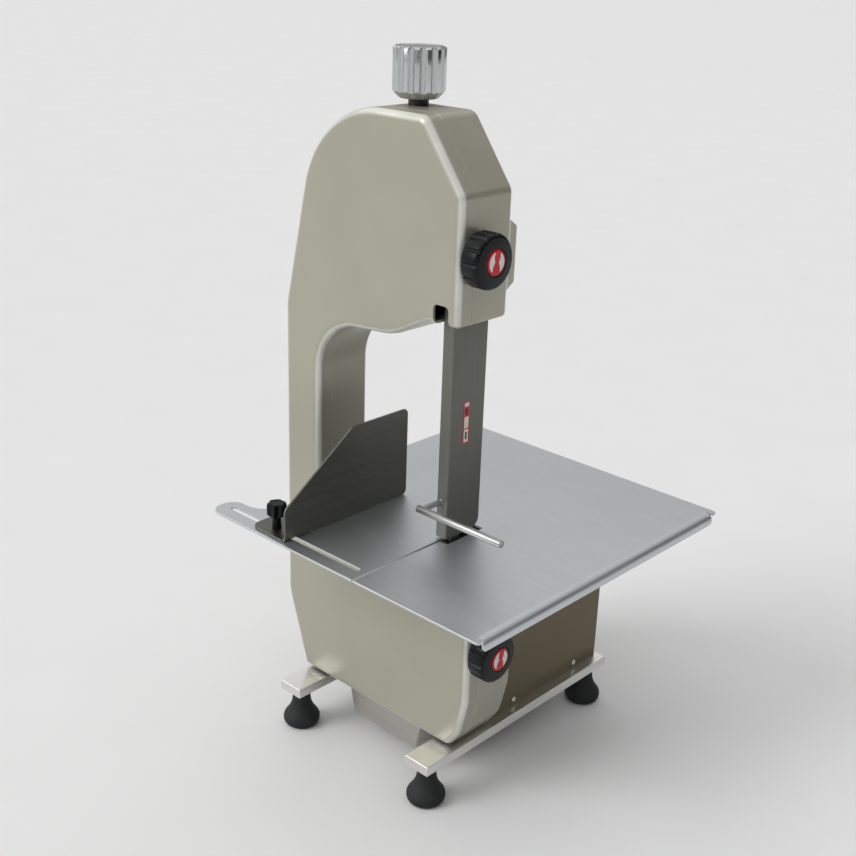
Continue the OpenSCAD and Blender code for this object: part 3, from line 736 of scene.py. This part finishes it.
def tray_rings(mouth, floor, far, wall, edge, rim, towards):
    """Rings of a hollow tray in the C outline: from its inner floor, over its mouth, to its outer face."""
    corners = case_corners()
    rings = [in_xz(outline(corners, wall), floor), in_xz(outline(corners, wall), mouth + towards * rim)]
    rings.append(in_xz(outline(corners, wall - rim), mouth))
    rings.append(in_xz(outline(corners, rim), mouth))
    for k in range(1, 4):
        t = math.pi / 2 * k / 3
        rings.append(in_xz(outline(corners, rim * (1 - math.sin(t))), mouth + towards * rim * (1 - math.cos(t))))
    arcs = 9
    for k in range(arcs + 1):
        t = math.pi / 2 * k / arcs
        rings.append(in_xz(outline(corners, edge * (1 - math.cos(t))), far - towards * edge * (1 - math.sin(t))))
    return rings


def cut_stud_seats(bm):
    """Round seats across the seam for the two door studs."""
    for node in ("head_lock_knob", "base_lock_knob"):
        low, high = low_mm(node), high_mm(node)
        z = (low.z + high.z) / 2
        rod(bm, (low.x - 8, SEAM_Y, z), (low.x + 4, SEAM_Y, z), 6.2, 0.1)


def cut_guard_gap(bm, y0, y1):
    """The notch in the head that the guard slides through, from y0 to y1."""
    low = HEAD_FLOOR - 6
    high = HEAD_FLOOR + 21
    left, right = GUARD_GAP_X
    slab(bm, [(left, low, 1), (right, low, 1), (right, high, 5), (left, high, 5)], in_xz, y0, y1)


def build_door():
    """The hollow front half of the casing."""
    casing = settings("casing")
    bm = bmesh.new()
    front = DOOR_LOW.y
    mouth = DOOR_HIGH.y
    loft(bm, tray_rings(mouth, front + casing.door_wall, front, casing.door_wall, casing.door_round,
                        casing.rim_break, -1))
    door = mesh_object("door_skin", bm)
    carve(door, lambda b: cut_guard_gap(b, front - 5, SEAM_Y + 5))
    carve(door, cut_stud_seats)
    flatten(door)
    settle(door, "door", finish_for("satin_casting"), ["door_shell"])
    dress("door_hinges", width=0.4)


def build_casting():
    """The hollow rear half of the casing, with its lugs, and the boss on the head."""
    casing = settings("casing")
    bm = bmesh.new()
    back = CAST_HIGH.y
    wall = back - casing.cast_wall
    loft(bm, tray_rings(SEAM_Y, wall, back, casing.cast_wall, casing.back_round, casing.rim_break, 1))
    casting = mesh_object("casting_skin", bm)

    def lugs(b):
        for node in ("head_lock_knob", "base_lock_knob"):
            side = low_mm(node).x - KNOB_GAP
            z = (low_mm(node).z + high_mm(node).z) / 2
            box(b, (side - 12, SEAM_Y - 7, z - 11), (side - 5, wall + 1, z + 11))
        for node in ("base_rail_left", "base_rail_right"):
            low, high = low_mm(node), high_mm(node)
            box(b, (low.x + 3, SEAM_Y + 6, high.z), (min(high.x - 3, 68), back - 1, BASE_Z + 1))

    carve(casting, lugs, "UNION")
    carve(casting, lambda b: cut_guard_gap(b, SEAM_Y - 5, -22))
    blade = high_mm("saw_blade").x

    def ways(b):
        box(b, (blade - 4.5, SEAM_Y - 2, ARM_Z - 8), (blade + 4, -42, ARM_Z + 2))
        box(b, (-75, SEAM_Y + 6, BASE_Z - 2), (5, -26, BASE_Z + 6))
        shaft = (low_mm("motor_shaft") + high_mm("motor_shaft")) / 2
        rod(b, (shaft.x, wall - 10, shaft.z), (shaft.x, back + 2, shaft.z), 12, 0.1)
        screw = (low_mm("tension_screw") + high_mm("tension_screw")) / 2
        rod(b, (screw.x, screw.y, HEAD_Z - 8), (screw.x, screw.y, HEAD_Z + 2), 5.4, 0.1)

    carve(casting, ways)
    carve(casting, cut_stud_seats)
    flatten(casting)
    settle(casting, "frame", finish_for("satin_casting"), ["rear_casting"])
    low, high = low_mm("head_back_boss"), high_mm("head_back_boss")
    bm = bmesh.new()
    slab(bm, [(low.y, low.z, 1), (high.y, low.z + 8, 4), (high.y, high.z - 8, 4), (low.y, high.z, 1)],
         in_yz, low.x, high.x, 2.0)
    boss = mesh_object("head_boss_skin", bm)
    flatten(boss)
    settle(boss, "frame", finish_for("satin_casting"), ["head_back_boss"])
    dress("frame_hinges", "hinge_pins", width=0.4)
    dress("lock_studs")


# ---------------------------------------------------------------- table
def build_table():
    """The sheet table: its tongue at the front left, the fence's slot, the blade's slit and the rolled right edge."""
    sheet = settings("sheet")
    low, high = low_mm("table_top"), high_mm("table_top")
    thick = 2.5
    bend = sheet.lip_bend
    bottom = TABLE_Z - thick
    right = high.x - bend
    corners = [
        (low.x, low.y, 16), (high.x, low.y, 4), (high.x, high.y, 4), (-170, high.y, 24), (-170, -6, 6),
        (-136.5, -6, 4), (-136.5, -118, 40), (-142, -171, 28), (low.x, -171, 16),
    ]
    bm = bmesh.new()
    slab(bm, corners, in_xy, bottom, TABLE_Z, sheet.edge)
    table = mesh_object("table_skin", bm)
    start, end = low.y + 9, high.y - 9
    front = low_mm("blade_guard").y - 3

    def cuts(b):
        below, above = bottom - 3, TABLE_Z + 3
        slab(b, rect(*FENCE_SLOT, 3.4), in_xy, below, above)
        slab(b, rect(BLADE_OPENING_X, front, BLADE_OPENING_X + 14, -21, 2), in_xy, below, above)
        box(b, (BLADE_OPENING_X + 0.5, low.y - 3, below), (BLADE_OPENING_X + 3.5, front + 1, above))
        box(b, (right, start - 0.6, below), (high.x + 3, end + 0.6, above))

    carve(table, cuts)

    def lip(b):
        arc = [math.radians(90 - 9 * k) for k in range(11)]
        outer = [(right + bend * math.cos(t), TABLE_Z - bend + bend * math.sin(t)) for t in arc]
        inner = [(right + (bend - thick) * math.cos(t), TABLE_Z - bend + (bend - thick) * math.sin(t)) for t in arc]
        profile = [(right - 1.0, TABLE_Z)] + outer + [(high.x, low.z + 0.4), (high.x - 0.4, low.z),
                                                     (high.x - thick + 0.4, low.z), (high.x - thick, low.z + 0.4)]
        profile += list(reversed(inner)) + [(right - 1.0, bottom)]
        fold = TABLE_Z - bend
        rings = []
        for y, drop in ((start, 0.2), (start + 1, 0.55), (start + 3, 1.0), (end - 3, 1.0), (end - 1, 0.55),
                        (end, 0.2)):
            rings.append([Vector((x, y, z if z > fold else fold + (z - fold) * drop)) for x, z in profile])
        loft(b, rings)

    carve(table, lip, "UNION")
    flatten(table)
    settle(table, "frame", finish_for("table_steel"), ["table_top"])
    dress("table_support_left", "table_support_right", "table_screws")


# ---------------------------------------------------------------- blade guard with its handle and label
def build_guard():
    """The sheet channel over the blade, and its handle."""
    low, high = low_mm("blade_guard"), high_mm("blade_guard")
    t = 1.5
    profile = [
        (high.x, high.y, 0.4), (high.x - t, high.y, 0.4), (high.x - t, low.y + t, 1.0), (low.x + t, low.y + t, 1.0),
        (low.x + t, low.y + 9, 0.4), (low.x, low.y + 9, 0.4), (low.x, low.y, 2.5), (high.x, low.y, 2.5),
    ]
    bm = bmesh.new()
    slab(bm, profile, in_xy, low.z, high.z, 0.3)
    guard = mesh_object("guard_skin", bm)
    corner = 13

    def round_corner(b):
        points = [Vector((high.y + 2, low.z - 2)), Vector((high.y + 2, low.z + corner)),
                  Vector((high.y, low.z + corner))]
        for k in range(1, 13):
            a = math.pi / 2 * k / 12
            points.append(Vector((high.y - corner + corner * math.cos(a), low.z + corner - corner * math.sin(a))))
        points.append(Vector((high.y - corner, low.z - 2)))
        loft(b, [in_yz(points, high.x - 6), in_yz(points, high.x + 2)])

    carve(guard, round_corner)
    flatten(guard)
    settle(guard, "guard", finish_for("guard_steel"), ["blade_guard"])

    low, high = low_mm("guard_handle"), high_mm("guard_handle")
    y, z = low.y + 4, (low.z + high.z) / 2
    bm = bmesh.new()
    rod(bm, (low.x, y, z), (high.x, y, z), 4.0, 0.6)
    handle = mesh_object("handle_rod", bm)

    def stem(b):
        turned(b, (37, high.y - 0.2, z), (0, -1, 0), [(0, 4.4), (0.8, 4.1), (1.6, 3.5), (2.4, 3.3), (25, 3.3),
                                                     (27.5, 3.1), (29, 2.0)])

    carve(handle, stem, "UNION")
    steel = brushed("handle_steel", (0.44, 0.44, 0.43), HANDLE_GRAIN, (0.28, 0.38), 0.08)
    settle(handle, "guard", steel, ["guard_handle"])
    build_label()


def build_label():
    """A small generic label on the guard's right cheek: pale plate, red frame, two bars."""
    face = high_mm("blade_guard").x
    low_y, high_y, low_z, high_z = -57.0, -48.0, 408.0, 455.0
    bm = bmesh.new()
    slab(bm, rect(low_y, low_z, high_y, high_z, 1), in_yz, face, face + 0.25)
    plate = mesh_object("label_plate", bm)
    settle(plate, "guard", moulded("label_red", (0.55, 0.05, 0.06), 0.35, 0.02))
    pale = tuple(settings("finish").pale)
    for name, finish, rgb, spans, margin, radius, proud in (
            ("label_pale", "label_white", pale, ((410.0, 424.0), (425.5, 438.0), (449.5, 453.5)), 1.3, 0.6, 0.4),
            ("label_bars", "label_dark", (0.05, 0.04, 0.04), ((413.0, 421.0), (440.0, 447.5)), 3.2, 0.5, 0.5)):
        bm = bmesh.new()
        for z0, z1 in spans:
            slab(bm, rect(low_y + margin, z0, high_y - margin, z1, radius), in_yz, face + 0.2, face + proud)
        marks = mesh_object(name, bm)
        settle(marks, "guard", moulded(finish, rgb, 0.4, 0.02))


# ---------------------------------------------------------------- fence
def build_fence():
    """The bent fence and the lobed knob that clamps it."""
    sheet = settings("sheet")
    low, high = low_mm("fence_plate"), high_mm("fence_plate")
    t = 2.2
    bm = bmesh.new()
    front = low.y + 2
    slab(bm, [(front, low.z, 2.5), (high.y, low.z, 6), (high.y, high.z, 7), (front + 97, high.z, 8),
              (front, low.z + 36, 8)], in_yz, high.x - t, high.x, 0.45)
    fence = mesh_object("fence_skin", bm)

    def foot(b):
        slab(b, [(low.x, low.y, 12), (high.x - sheet.bend, low.y, 1), (high.x - sheet.bend, low.y + 40, 1),
                 (low.x, low.y + 40, 12)], in_xy, low.z, low.z + t, 0.45)

    def fold(b):
        r = sheet.bend
        arc = [math.radians(-90 + 15 * k) for k in range(7)]
        outer = [(high.x - r + r * math.cos(a), low.z + r + r * math.sin(a)) for a in arc]
        inner = [(high.x - r + (r - t) * math.cos(a), low.z + r + (r - t) * math.sin(a)) for a in arc]
        profile = [(high.x - r - 1.0, low.z)] + outer + [(high.x, low.z + r + 1), (high.x - t, low.z + r + 1)]
        profile += list(reversed(inner)) + [(high.x - r - 1.0, low.z + t)]
        loft(b, [[Vector((x, y, z)) for x, z in profile] for y in (low.y + 1.0, low.y + 39.5)])

    def front_bite(b):
        box(b, (high.x - 8, low.y - 2, low.z - 1), (high.x + 2, low.y + 40, low.z + sheet.bend))

    carve(fence, front_bite)
    carve(fence, foot, "UNION")
    carve(fence, fold, "UNION")
    bolt = (low_mm("fence_bolt") + high_mm("fence_bolt")) / 2
    carve(fence, lambda b: rod(b, (bolt.x, bolt.y, low.z - 2), (bolt.x, bolt.y, low.z + 4), 3.2, 0.1))
    flatten(fence)
    settle(fence, "fence", finish_for("fence_steel"), ["fence_plate"])
    dress("fence_bolt")

    low, high = low_mm("fence_knob"), high_mm("fence_knob")
    centre = (low + high) / 2
    bm = bmesh.new()
    lobes = 6
    radius = (high.x - low.x) / 2 - 0.05
    top = high.z - low.z

    def lobe(angle, along):
        if along < top - 17:
            return 50.0
        return radius - 1.6 + 1.6 * math.cos(lobes * angle)

    turned(bm, (centre.x, centre.y, low.z), (0, 0, 1),
           [(0.0, 4.8), (0.5, 5.1), (top - 19, 4.4), (top - 17, 5.0), (top - 15.5, 7.5), (top - 14, radius - 1.2),
            (top - 12.5, radius), (top - 2.5, radius), (top - 0.8, radius - 0.8), (top, radius - 2.5),
            (top - 0.8, radius - 5.0)], 160, lobe)
    knob = mesh_object("fence_knob_skin", bm)
    settle(knob, "fence_knob_body", finish_for("knob_plastic"), ["fence_knob"])


# ---------------------------------------------------------------- knobs
def build_tension_knob():
    """The fluted metal knob on the head."""
    knobs = settings("knobs")
    low, high = low_mm("tension_knob"), high_mm("tension_knob")
    centre = (low + high) / 2
    radius = (high.y - low.y) / 2
    tall = high.z - low.z
    depth = knobs.flute_depth
    half_flute = math.pi / knobs.flutes

    def flute(angle, _along):
        t = (angle % (2 * half_flute)) / half_flute - 1
        return radius - depth * max(0.0, 1 - (abs(t) / 0.62) ** 2.2)

    profile = [(0.0, 12.0), (0.0, 19.6), (0.3, 20.2), (0.9, 20.8), (6.2, radius - 0.8), (7.0, radius - 0.2),
               (8.0, radius), (20.0, radius), (32.0, radius), (tall - 2.2, radius), (tall - 1.9, radius - 0.15),
               (tall - 0.4, radius - 1.9), (tall, radius - 2.5), (tall, radius - 4.6), (tall, radius - 7.0),
               (tall - 0.4, radius - 7.6), (tall - 0.4, 3.0)]
    bm = bmesh.new()
    turned(bm, (centre.x, centre.y, low.z), (0, 0, 1), profile, knobs.sides, flute)
    knob = mesh_object("tension_knob_skin", bm, 30.0)
    settle(knob, "tension_knob_body", finish_for("knob_metal"), ["tension_knob"])
    dress("tension_screw", "tension_collar")


def build_lock_knob(prefix):
    """A ribbed door knob with its cap and the cap's marks."""
    knobs = settings("knobs")
    low, high = low_mm(prefix + "_knob"), high_mm(prefix + "_knob")
    centre = (low + high) / 2
    radius = (high.z - low.z) / 2
    deep = high.x - low.x
    period = 2 * math.pi / knobs.ribs

    def rib(angle, _along):
        t = abs((angle % period) / period - 0.5) * 2
        groove = max(0.0, 1 - ((1 - t) / 0.30) ** 2) if t > 0.70 else 0.0
        return radius - knobs.rib_depth * groove

    profile = [(0.0, 8.0), (0.0, radius - 7.0), (0.6, radius - 6.2), (3.0, radius - 5.6), (4.0, radius - 2.4),
               (5.2, radius - 0.7), (7.0, radius), (deep - 6.0, radius)]
    profile += [(deep - 6.0 + 5.0 * math.sin(math.pi / 2 * k / 8), radius - 5.0 + 5.0 * math.cos(math.pi / 2 * k / 8))
                for k in range(1, 9)]
    profile += [(deep - 0.5, radius - 9.5), (deep, 14.8), (deep - 0.2, 14.0), (deep - 1.2, 13.6), (deep - 1.2, 6.0)]
    bm = bmesh.new()
    turned(bm, (low.x, centre.y, centre.z), (1, 0, 0), profile, knobs.sides, rib)
    name = prefix + "_skin"
    knob = mesh_object(name, bm, 34.0)
    body = body_of(prefix + "_knob")
    settle(knob, body, finish_for("knob_plastic"), [prefix + "_knob"])

    cap_low, cap_high = low_mm(prefix + "_cap"), high_mm(prefix + "_cap")
    thick = cap_high.x - cap_low.x
    at = Vector((cap_low.x, centre.y, centre.z))
    bm = bmesh.new()
    turned(bm, at, (1, 0, 0), [(0.0, 12.9), (thick - 0.9, 12.9), (thick - 0.5, 12.5), (thick - 0.3, 11.6),
                               (thick - 0.35, 10.6), (thick - 0.3, 2.0)], 96)
    cap = mesh_object(prefix + "_cap_skin", bm)
    settle(cap, body, finish_for("cap_red"), [prefix + "_cap"])

    bm = bmesh.new()
    for start, end in ((-62, 58), (105, 232)):
        build_crescent(bm, at + Vector((thick - 0.5, 0, 0)), start, end)
    marks = mesh_object(prefix + "_marks", bm)
    settle(marks, body, moulded("cap_pale", tuple(settings("finish").pale), 0.3, 0.02))


def build_crescent(bm, at, start, end):
    """A raised pale crescent on a cap, between two angles in degrees."""
    steps = 20
    outer, inner = 10.6, 9.6
    points = []
    for k in range(steps + 1):
        a = math.radians(start + (end - start) * k / steps)
        points.append(Vector((outer * math.cos(a), outer * math.sin(a))))
    for k in reversed(range(steps + 1)):
        a = math.radians(start + (end - start) * k / steps)
        swell = math.sin(math.pi * k / steps)
        points.append(Vector(((inner - 6.6 * swell) * math.cos(a), (inner - 4.8 * swell) * math.sin(a))))
    rings = [[at + Vector((x, p.x, p.y)) for p in points] for x in (0.0, 0.45)]
    loft(bm, rings)


# ---------------------------------------------------------------- base
def build_base():
    """The two flat rails and the four feet."""
    for side in ("left", "right"):
        node = "base_rail_" + side
        low, high = low_mm(node), high_mm(node)
        bm = bmesh.new()
        slab(bm, rect(low.x, low.y, high.x, high.y, 0.8), in_xy, low.z, high.z, 0.9)
        rail = mesh_object("rail_" + side, bm)
        flatten(rail)
        settle(rail, "frame", finish_for("bright_steel"), [node])
        for end in ("front", "rear"):
            build_foot(f"foot_{end}_{side}")
    dress("foot_bolts", "rail_bolts")


def build_foot(node):
    """A waisted rubber foot."""
    low, high = low_mm(node), high_mm(node)
    centre = (low + high) / 2
    wide = (high.x - low.x) / 2
    tall = high.z
    profile = [
        (0.0, 4.0), (0.0, wide - 5.0), (0.6, wide - 3.6), (2.0, wide - 2.0), (4.5, wide - 0.6), (7.5, wide),
        (10.5, wide - 0.2), (13.5, wide - 1.4), (17.0, wide - 3.9), (21.0, wide - 6.6), (25.0, wide - 8.6),
        (29.0, wide - 10.0), (33.0, wide - 10.8), (37.0, wide - 11.1), (tall - 1.2, wide - 11.0),
        (tall - 0.4, wide - 11.3), (tall, wide - 12.0), (tall, 4.2),
    ]
    bm = bmesh.new()
    turned(bm, (centre.x, centre.y, 0.0), (0, 0, 1), profile, 72)
    foot = mesh_object(node + "_skin", bm, 50.0)
    settle(foot, "frame", finish_for("foot_rubber"), [node])


def build_drawer():
    """The waste drawer, an open tray that narrows downwards."""
    low, high = low_mm("waste_drawer"), high_mm("waste_drawer")
    middle = (low.x + high.x) / 2
    wide_top, wide_low = 59.0, 51.0
    t = 1.2
    bm = bmesh.new()

    def ring(z, inset, radius):
        half = wide_low + (wide_top - wide_low) * (z - low.z) / (high.z - low.z) - inset
        corners = rect(middle - half, low.y + inset, middle + half, high.y - inset, radius)
        return in_xy(outline(corners), z)

    rings = [ring(low.z + t, t + 1.2, 1.0), ring(low.z + t + 1.2, t, 1.6), ring(high.z, t, 1.6), ring(high.z, 0, 2.8),
             ring(low.z + 2.0, 0, 2.8), ring(low.z + 0.6, 0.6, 2.4), ring(low.z, 2.0, 1.4)]
    loft(bm, rings)
    drawer = mesh_object("drawer_skin", bm)

    def flange(b):
        for side in (-1, 1):
            a = middle + side * (wide_top - 0.3)
            c = middle + side * 64
            box(b, (min(a, c), low.y + 14, high.z - 1.2), (max(a, c), high.y, high.z))

    carve(drawer, flange, "UNION")
    flatten(drawer)
    settle(drawer, "drawer", finish_for("drawer_steel"), ["waste_drawer"])
    dress("drawer_runners")


# ---------------------------------------------------------------- motor housing and what is on it
def build_housing():
    """The folded sheet cover over the motor."""
    low, high = low_mm("motor_housing"), high_mm("motor_housing")
    t = 1.5
    r = settings("sheet").bend
    section = [
        (low.x, low.z, 0.4), (low.x + t, low.z, 0.4), (low.x + t, high.z - t, r - t), (high.x - t, high.z - t, r - t),
        (high.x - t, low.z, 0.4), (high.x, low.z, 0.4), (high.x, high.z, r), (low.x, high.z, r),
    ]
    bm = bmesh.new()
    slab(bm, section, in_xz, low.y, high.y, 0.3)
    housing = mesh_object("housing_skin", bm)
    flatten(housing)
    settle(housing, "frame", finish_for("housing_steel"), ["motor_housing"])
    build_screws()
    dress("housing_back_panel", "cable_gland", "switch_box", "start_button", "stop_button", width=0.35)
    dress("motor_body", "motor_flange", "motor_fan_cover", "motor_fan", "motor_rotor", "start_capacitor")


def build_screws():
    """Domed cross-head screws in the housing's sides and back."""
    low, high = low_mm("motor_housing"), high_mm("motor_housing")
    places = [((x, y, low.z + 7), (s, 0, 0)) for x, s in ((high.x, 1), (low.x, -1)) for y in (32, 148)]
    panel = high_mm("housing_back_panel").y
    places += [((x, panel, z), (0, 1, 0)) for x in (low.x + 12, high.x - 12) for z in (low.z + 12, high.z - 14)]
    bm = bmesh.new()
    for at, out in places:
        turned(bm, at, out, [(0.0, 3.2), (0.5, 3.2), (1.1, 2.8), (1.6, 2.0), (1.85, 1.0)], 32)
    screws = mesh_object("housing_screw_heads", bm)

    def crosses(b):
        for at, out in places:
            turn = axis_frame(at, out)
            for size in ((3.2, 0.7), (0.7, 3.2)):
                one = bmesh.new()
                box(one, (-size[0] / 2, -size[1] / 2, 0.9), (size[0] / 2, size[1] / 2, 3.0))
                one.transform(turn)
                mesh = bpy.data.meshes.new("cross")
                one.to_mesh(mesh)
                one.free()
                b.from_mesh(mesh)
                bpy.data.meshes.remove(mesh)

    carve(screws, crosses)
    settle(screws, "frame", finish_for("bright_steel"), ["housing_screws"])


# ---------------------------------------------------------------- blade, wheels and tension slide
def build_blade():
    """The closed band with its teeth on the front edge."""
    low, high = low_mm("saw_blade"), high_mm("saw_blade")
    radius = (high.x - low.x) / 2
    centre_x = (high.x + low.x) / 2
    low_z, high_z = low.z + radius, high.z - radius
    thick = 0.5
    straight = high_z - low_z
    total = 2 * straight + 2 * math.pi * radius
    teeth = round(total / 5.0)

    def station(s, r):
        s = s % total
        if s < straight:
            return Vector((centre_x + r, 0, high_z - s))
        s -= straight
        if s < math.pi * radius:
            a = -s / radius
            return Vector((centre_x + r * math.cos(a), 0, low_z + r * math.sin(a)))
        s -= math.pi * radius
        if s < straight:
            return Vector((centre_x - r, 0, low_z + s))
        a = math.pi - (s - straight) / radius
        return Vector((centre_x + r * math.cos(a), 0, high_z + r * math.sin(a)))

    bm = bmesh.new()
    rings = []
    for i in range(teeth):
        for part, front in ((0.0, low.y + 2.4), (0.72, low.y), (0.80, low.y + 0.2)):
            s = total * (i + part) / teeth
            outer, inner = station(s, radius), station(s, radius - thick)
            rings.append([Vector((p.x, y, p.z)) for p, y in
                          ((outer, front), (outer, high.y), (inner, high.y), (inner, front))])
    loops = [[bm.verts.new(p) for p in ring] for ring in rings]
    for a, b in zip(loops, loops[1:] + loops[:1]):
        for i in range(4):
            bm.faces.new((a[i], a[(i + 1) % 4], b[(i + 1) % 4], b[i]))
    blade = mesh_object("toothed_band", bm, 30.0)
    settle(blade, "frame", finish_for("blade_steel"), ["saw_blade"])


def build_running_gear():
    """The wheels, guides and carriage keep their CAD shapes."""
    dress("upper_wheel", "lower_wheel", "upper_bearings", "motor_shaft", "wheel_bolt", "wheel_carriage",
          "upper_axle", "tension_guides", "upper_blade_guide", "lower_blade_guide", "blade_scraper",
          "wheel_scraper", "guard_guide_block")


# ---------------------------------------------------------------- stage
FLOOR_SIZE = 120.0                           # metres
KEY_HEADING, KEY_SPREAD = (0.45, 0.85, -0.62), 34
TOP_HEADING, TOP_SPREAD = (0.10, -0.15, -1.0), 110
BRIGHT_SKY = (-0.50, -0.35, 0.79)            # where the sky is brightest


def build_stage():
    """The floor, the lights and the camera."""
    stage = settings("stage")
    bpy.ops.mesh.primitive_plane_add(size=FLOOR_SIZE, location=(0, 0, 0))
    floor = bpy.context.object
    floor.name = "floor"
    material, nodes, links, shader = blank("floor_paint")
    speckle = place_group(nodes, cast_texture(), Grain_Scale=40.0)
    links.new(tint(nodes, links, speckle.outputs["Mottle"], (0.84, 0.84, 0.84), (0.86, 0.86, 0.86)),
              shader.inputs["Base Color"])
    shader.inputs["Roughness"].default_value = 0.9
    shader.inputs["Specular IOR Level"].default_value = 0.1
    floor.data.materials.append(material)

    add_world(stage)
    add_sun("key_light", KEY_HEADING, KEY_SPREAD, stage.key)
    add_sun("top_light", TOP_HEADING, TOP_SPREAD, stage.top)

    a, e = math.radians(stage.azimuth), math.radians(stage.elevation)
    back = Vector((math.sin(a) * math.cos(e), -math.cos(a) * math.cos(e), math.sin(e)))
    camera = bpy.data.cameras.new("camera")
    camera.sensor_width = 36.0
    camera.lens = stage.lens
    camera.clip_end = 200.0
    obj = bpy.data.objects.new("camera", camera)
    obj.location = Vector(stage.aim) + back * stage.distance
    turn = Euler((math.pi / 2 - e, 0.0, a), "XYZ").to_matrix() @ Matrix.Rotation(math.radians(stage.roll), 3, "Z")
    obj.rotation_euler = turn.to_euler()
    bpy.context.scene.collection.objects.link(obj)
    bpy.context.scene.camera = obj
    bpy.context.scene.view_settings.view_transform = "Standard"


def add_world(stage):
    """Soft light all round, brighter from the front left than from the back right, before a plain pale backdrop."""
    world = bpy.data.worlds.new("soft_studio")
    world.use_nodes = True
    nodes, links = world.node_tree.nodes, world.node_tree.links
    background = nodes["Background"]
    background.inputs["Strength"].default_value = stage.sky
    place = nodes.new("ShaderNodeTexCoord")
    towards = nodes.new("ShaderNodeVectorMath")
    towards.operation = "DOT_PRODUCT"
    towards.inputs[1].default_value = BRIGHT_SKY
    links.new(place.outputs["Generated"], towards.inputs[0])
    sweep = tint(nodes, links, towards.outputs["Value"], tuple(stage.dim_side), tuple(stage.bright_side),
                 -0.35, 0.55)
    links.new(sweep, background.inputs["Color"])
    backdrop = nodes.new("ShaderNodeBackground")
    backdrop.inputs["Color"].default_value = (0.80, 0.80, 0.80, 1.0)
    seen = nodes.new("ShaderNodeLightPath")
    choose = nodes.new("ShaderNodeMixShader")
    links.new(seen.outputs["Is Camera Ray"], choose.inputs["Fac"])
    links.new(background.outputs["Background"], choose.inputs[1])
    links.new(backdrop.outputs["Background"], choose.inputs[2])
    links.new(choose.outputs["Shader"], nodes["World Output"].inputs["Surface"])
    bpy.context.scene.world = world


def add_sun(name, heading, spread_angle, strength):
    """A broad soft light that shines along a heading."""
    light = bpy.data.lights.new(name, "SUN")
    light.energy = strength
    light.angle = math.radians(spread_angle)
    obj = bpy.data.objects.new(name, light)
    obj.location = (0, 0, 3)
    obj.rotation_euler = Vector(heading).to_track_quat("-Z", "Y").to_euler()
    bpy.context.scene.collection.objects.link(obj)


# ---------------------------------------------------------------- operators
class BuildStep(Operator):
    """One step of the build."""
    bl_options = {"REGISTER", "UNDO"}

    def execute(self, context):
        self.build()
        return {"FINISHED"}


class BONESAW_OT_door(BuildStep):
    """Builds the hinged door with its rounded edges"""
    bl_idname = "bonesaw.door"
    bl_label = "Door"

    def build(self):
        build_door()


class BONESAW_OT_casting(BuildStep):
    """Builds the rear casting, the boss on its head and the hinges"""
    bl_idname = "bonesaw.casting"
    bl_label = "Rear Casting"

    def build(self):
        build_casting()


class BONESAW_OT_table(BuildStep):
    """Builds the sheet table with its slot, slit and turned-down edge"""
    bl_idname = "bonesaw.table"
    bl_label = "Table"

    def build(self):
        build_table()


class BONESAW_OT_guard(BuildStep):
    """Builds the blade guard, its handle and its label"""
    bl_idname = "bonesaw.guard"
    bl_label = "Blade Guard"

    def build(self):
        build_guard()


class BONESAW_OT_fence(BuildStep):
    """Builds the side fence and its clamp knob"""
    bl_idname = "bonesaw.fence"
    bl_label = "Fence"

    def build(self):
        build_fence()


class BONESAW_OT_knobs(BuildStep):
    """Builds the tension knob and both door knobs"""
    bl_idname = "bonesaw.knobs"
    bl_label = "Knobs"

    def build(self):
        build_tension_knob()
        build_lock_knob("head_lock")
        build_lock_knob("base_lock")


class BONESAW_OT_base(BuildStep):
    """Builds the rails, the rubber feet and the waste drawer"""
    bl_idname = "bonesaw.base"
    bl_label = "Base"

    def build(self):
        build_base()
        build_drawer()


class BONESAW_OT_housing(BuildStep):
    """Builds the motor housing and finishes the motor and the switch"""
    bl_idname = "bonesaw.housing"
    bl_label = "Motor Housing"

    def build(self):
        build_housing()


class BONESAW_OT_blade(BuildStep):
    """Builds the toothed blade and finishes the wheels and guides"""
    bl_idname = "bonesaw.blade"
    bl_label = "Blade and Wheels"

    def build(self):
        build_blade()
        build_running_gear()


class BONESAW_OT_stage(BuildStep):
    """Adds the floor, the soft lights and the camera"""
    bl_idname = "bonesaw.stage"
    bl_label = "Stage"

    def build(self):
        build_stage()


STEPS = ("stage", "door", "casting", "table", "guard", "fence", "knobs", "base", "housing", "blade")


class BONESAW_PT_build(Panel):
    """Lists the build steps and the settings."""
    bl_label = "Bone Saw"
    bl_space_type = "VIEW_3D"
    bl_region_type = "UI"
    bl_category = "Bone Saw"

    def draw(self, context):
        for step in STEPS:
            self.layout.operator("bonesaw." + step)
        for group in GROUPS:
            block = self.layout.box()
            block.label(text=group.title())
            owner = settings(group)
            for prop in owner.bl_rna.properties:
                if prop.identifier not in ("rna_type", "name"):
                    block.prop(owner, prop.identifier)


GROUPS = {"casing": CasingSettings, "sheet": SheetSettings, "knobs": KnobSettings, "finish": FinishSettings,
          "stage": StageSettings}
CLASSES = (*GROUPS.values(), BONESAW_OT_door, BONESAW_OT_casting, BONESAW_OT_table, BONESAW_OT_guard,
           BONESAW_OT_fence, BONESAW_OT_knobs, BONESAW_OT_base, BONESAW_OT_housing, BONESAW_OT_blade,
           BONESAW_OT_stage, BONESAW_PT_build)


def register():
    for cls in CLASSES:
        bpy.utils.register_class(cls)
    for name, cls in GROUPS.items():
        setattr(bpy.types.Scene, "bonesaw_" + name, PointerProperty(type=cls))


def unregister():
    for name in GROUPS:
        delattr(bpy.types.Scene, "bonesaw_" + name)
    for cls in reversed(CLASSES):
        bpy.utils.unregister_class(cls)


def main():
    register()
    for step in STEPS:
        getattr(bpy.ops.bonesaw, step)()


if __name__ == "__main__":
    main()
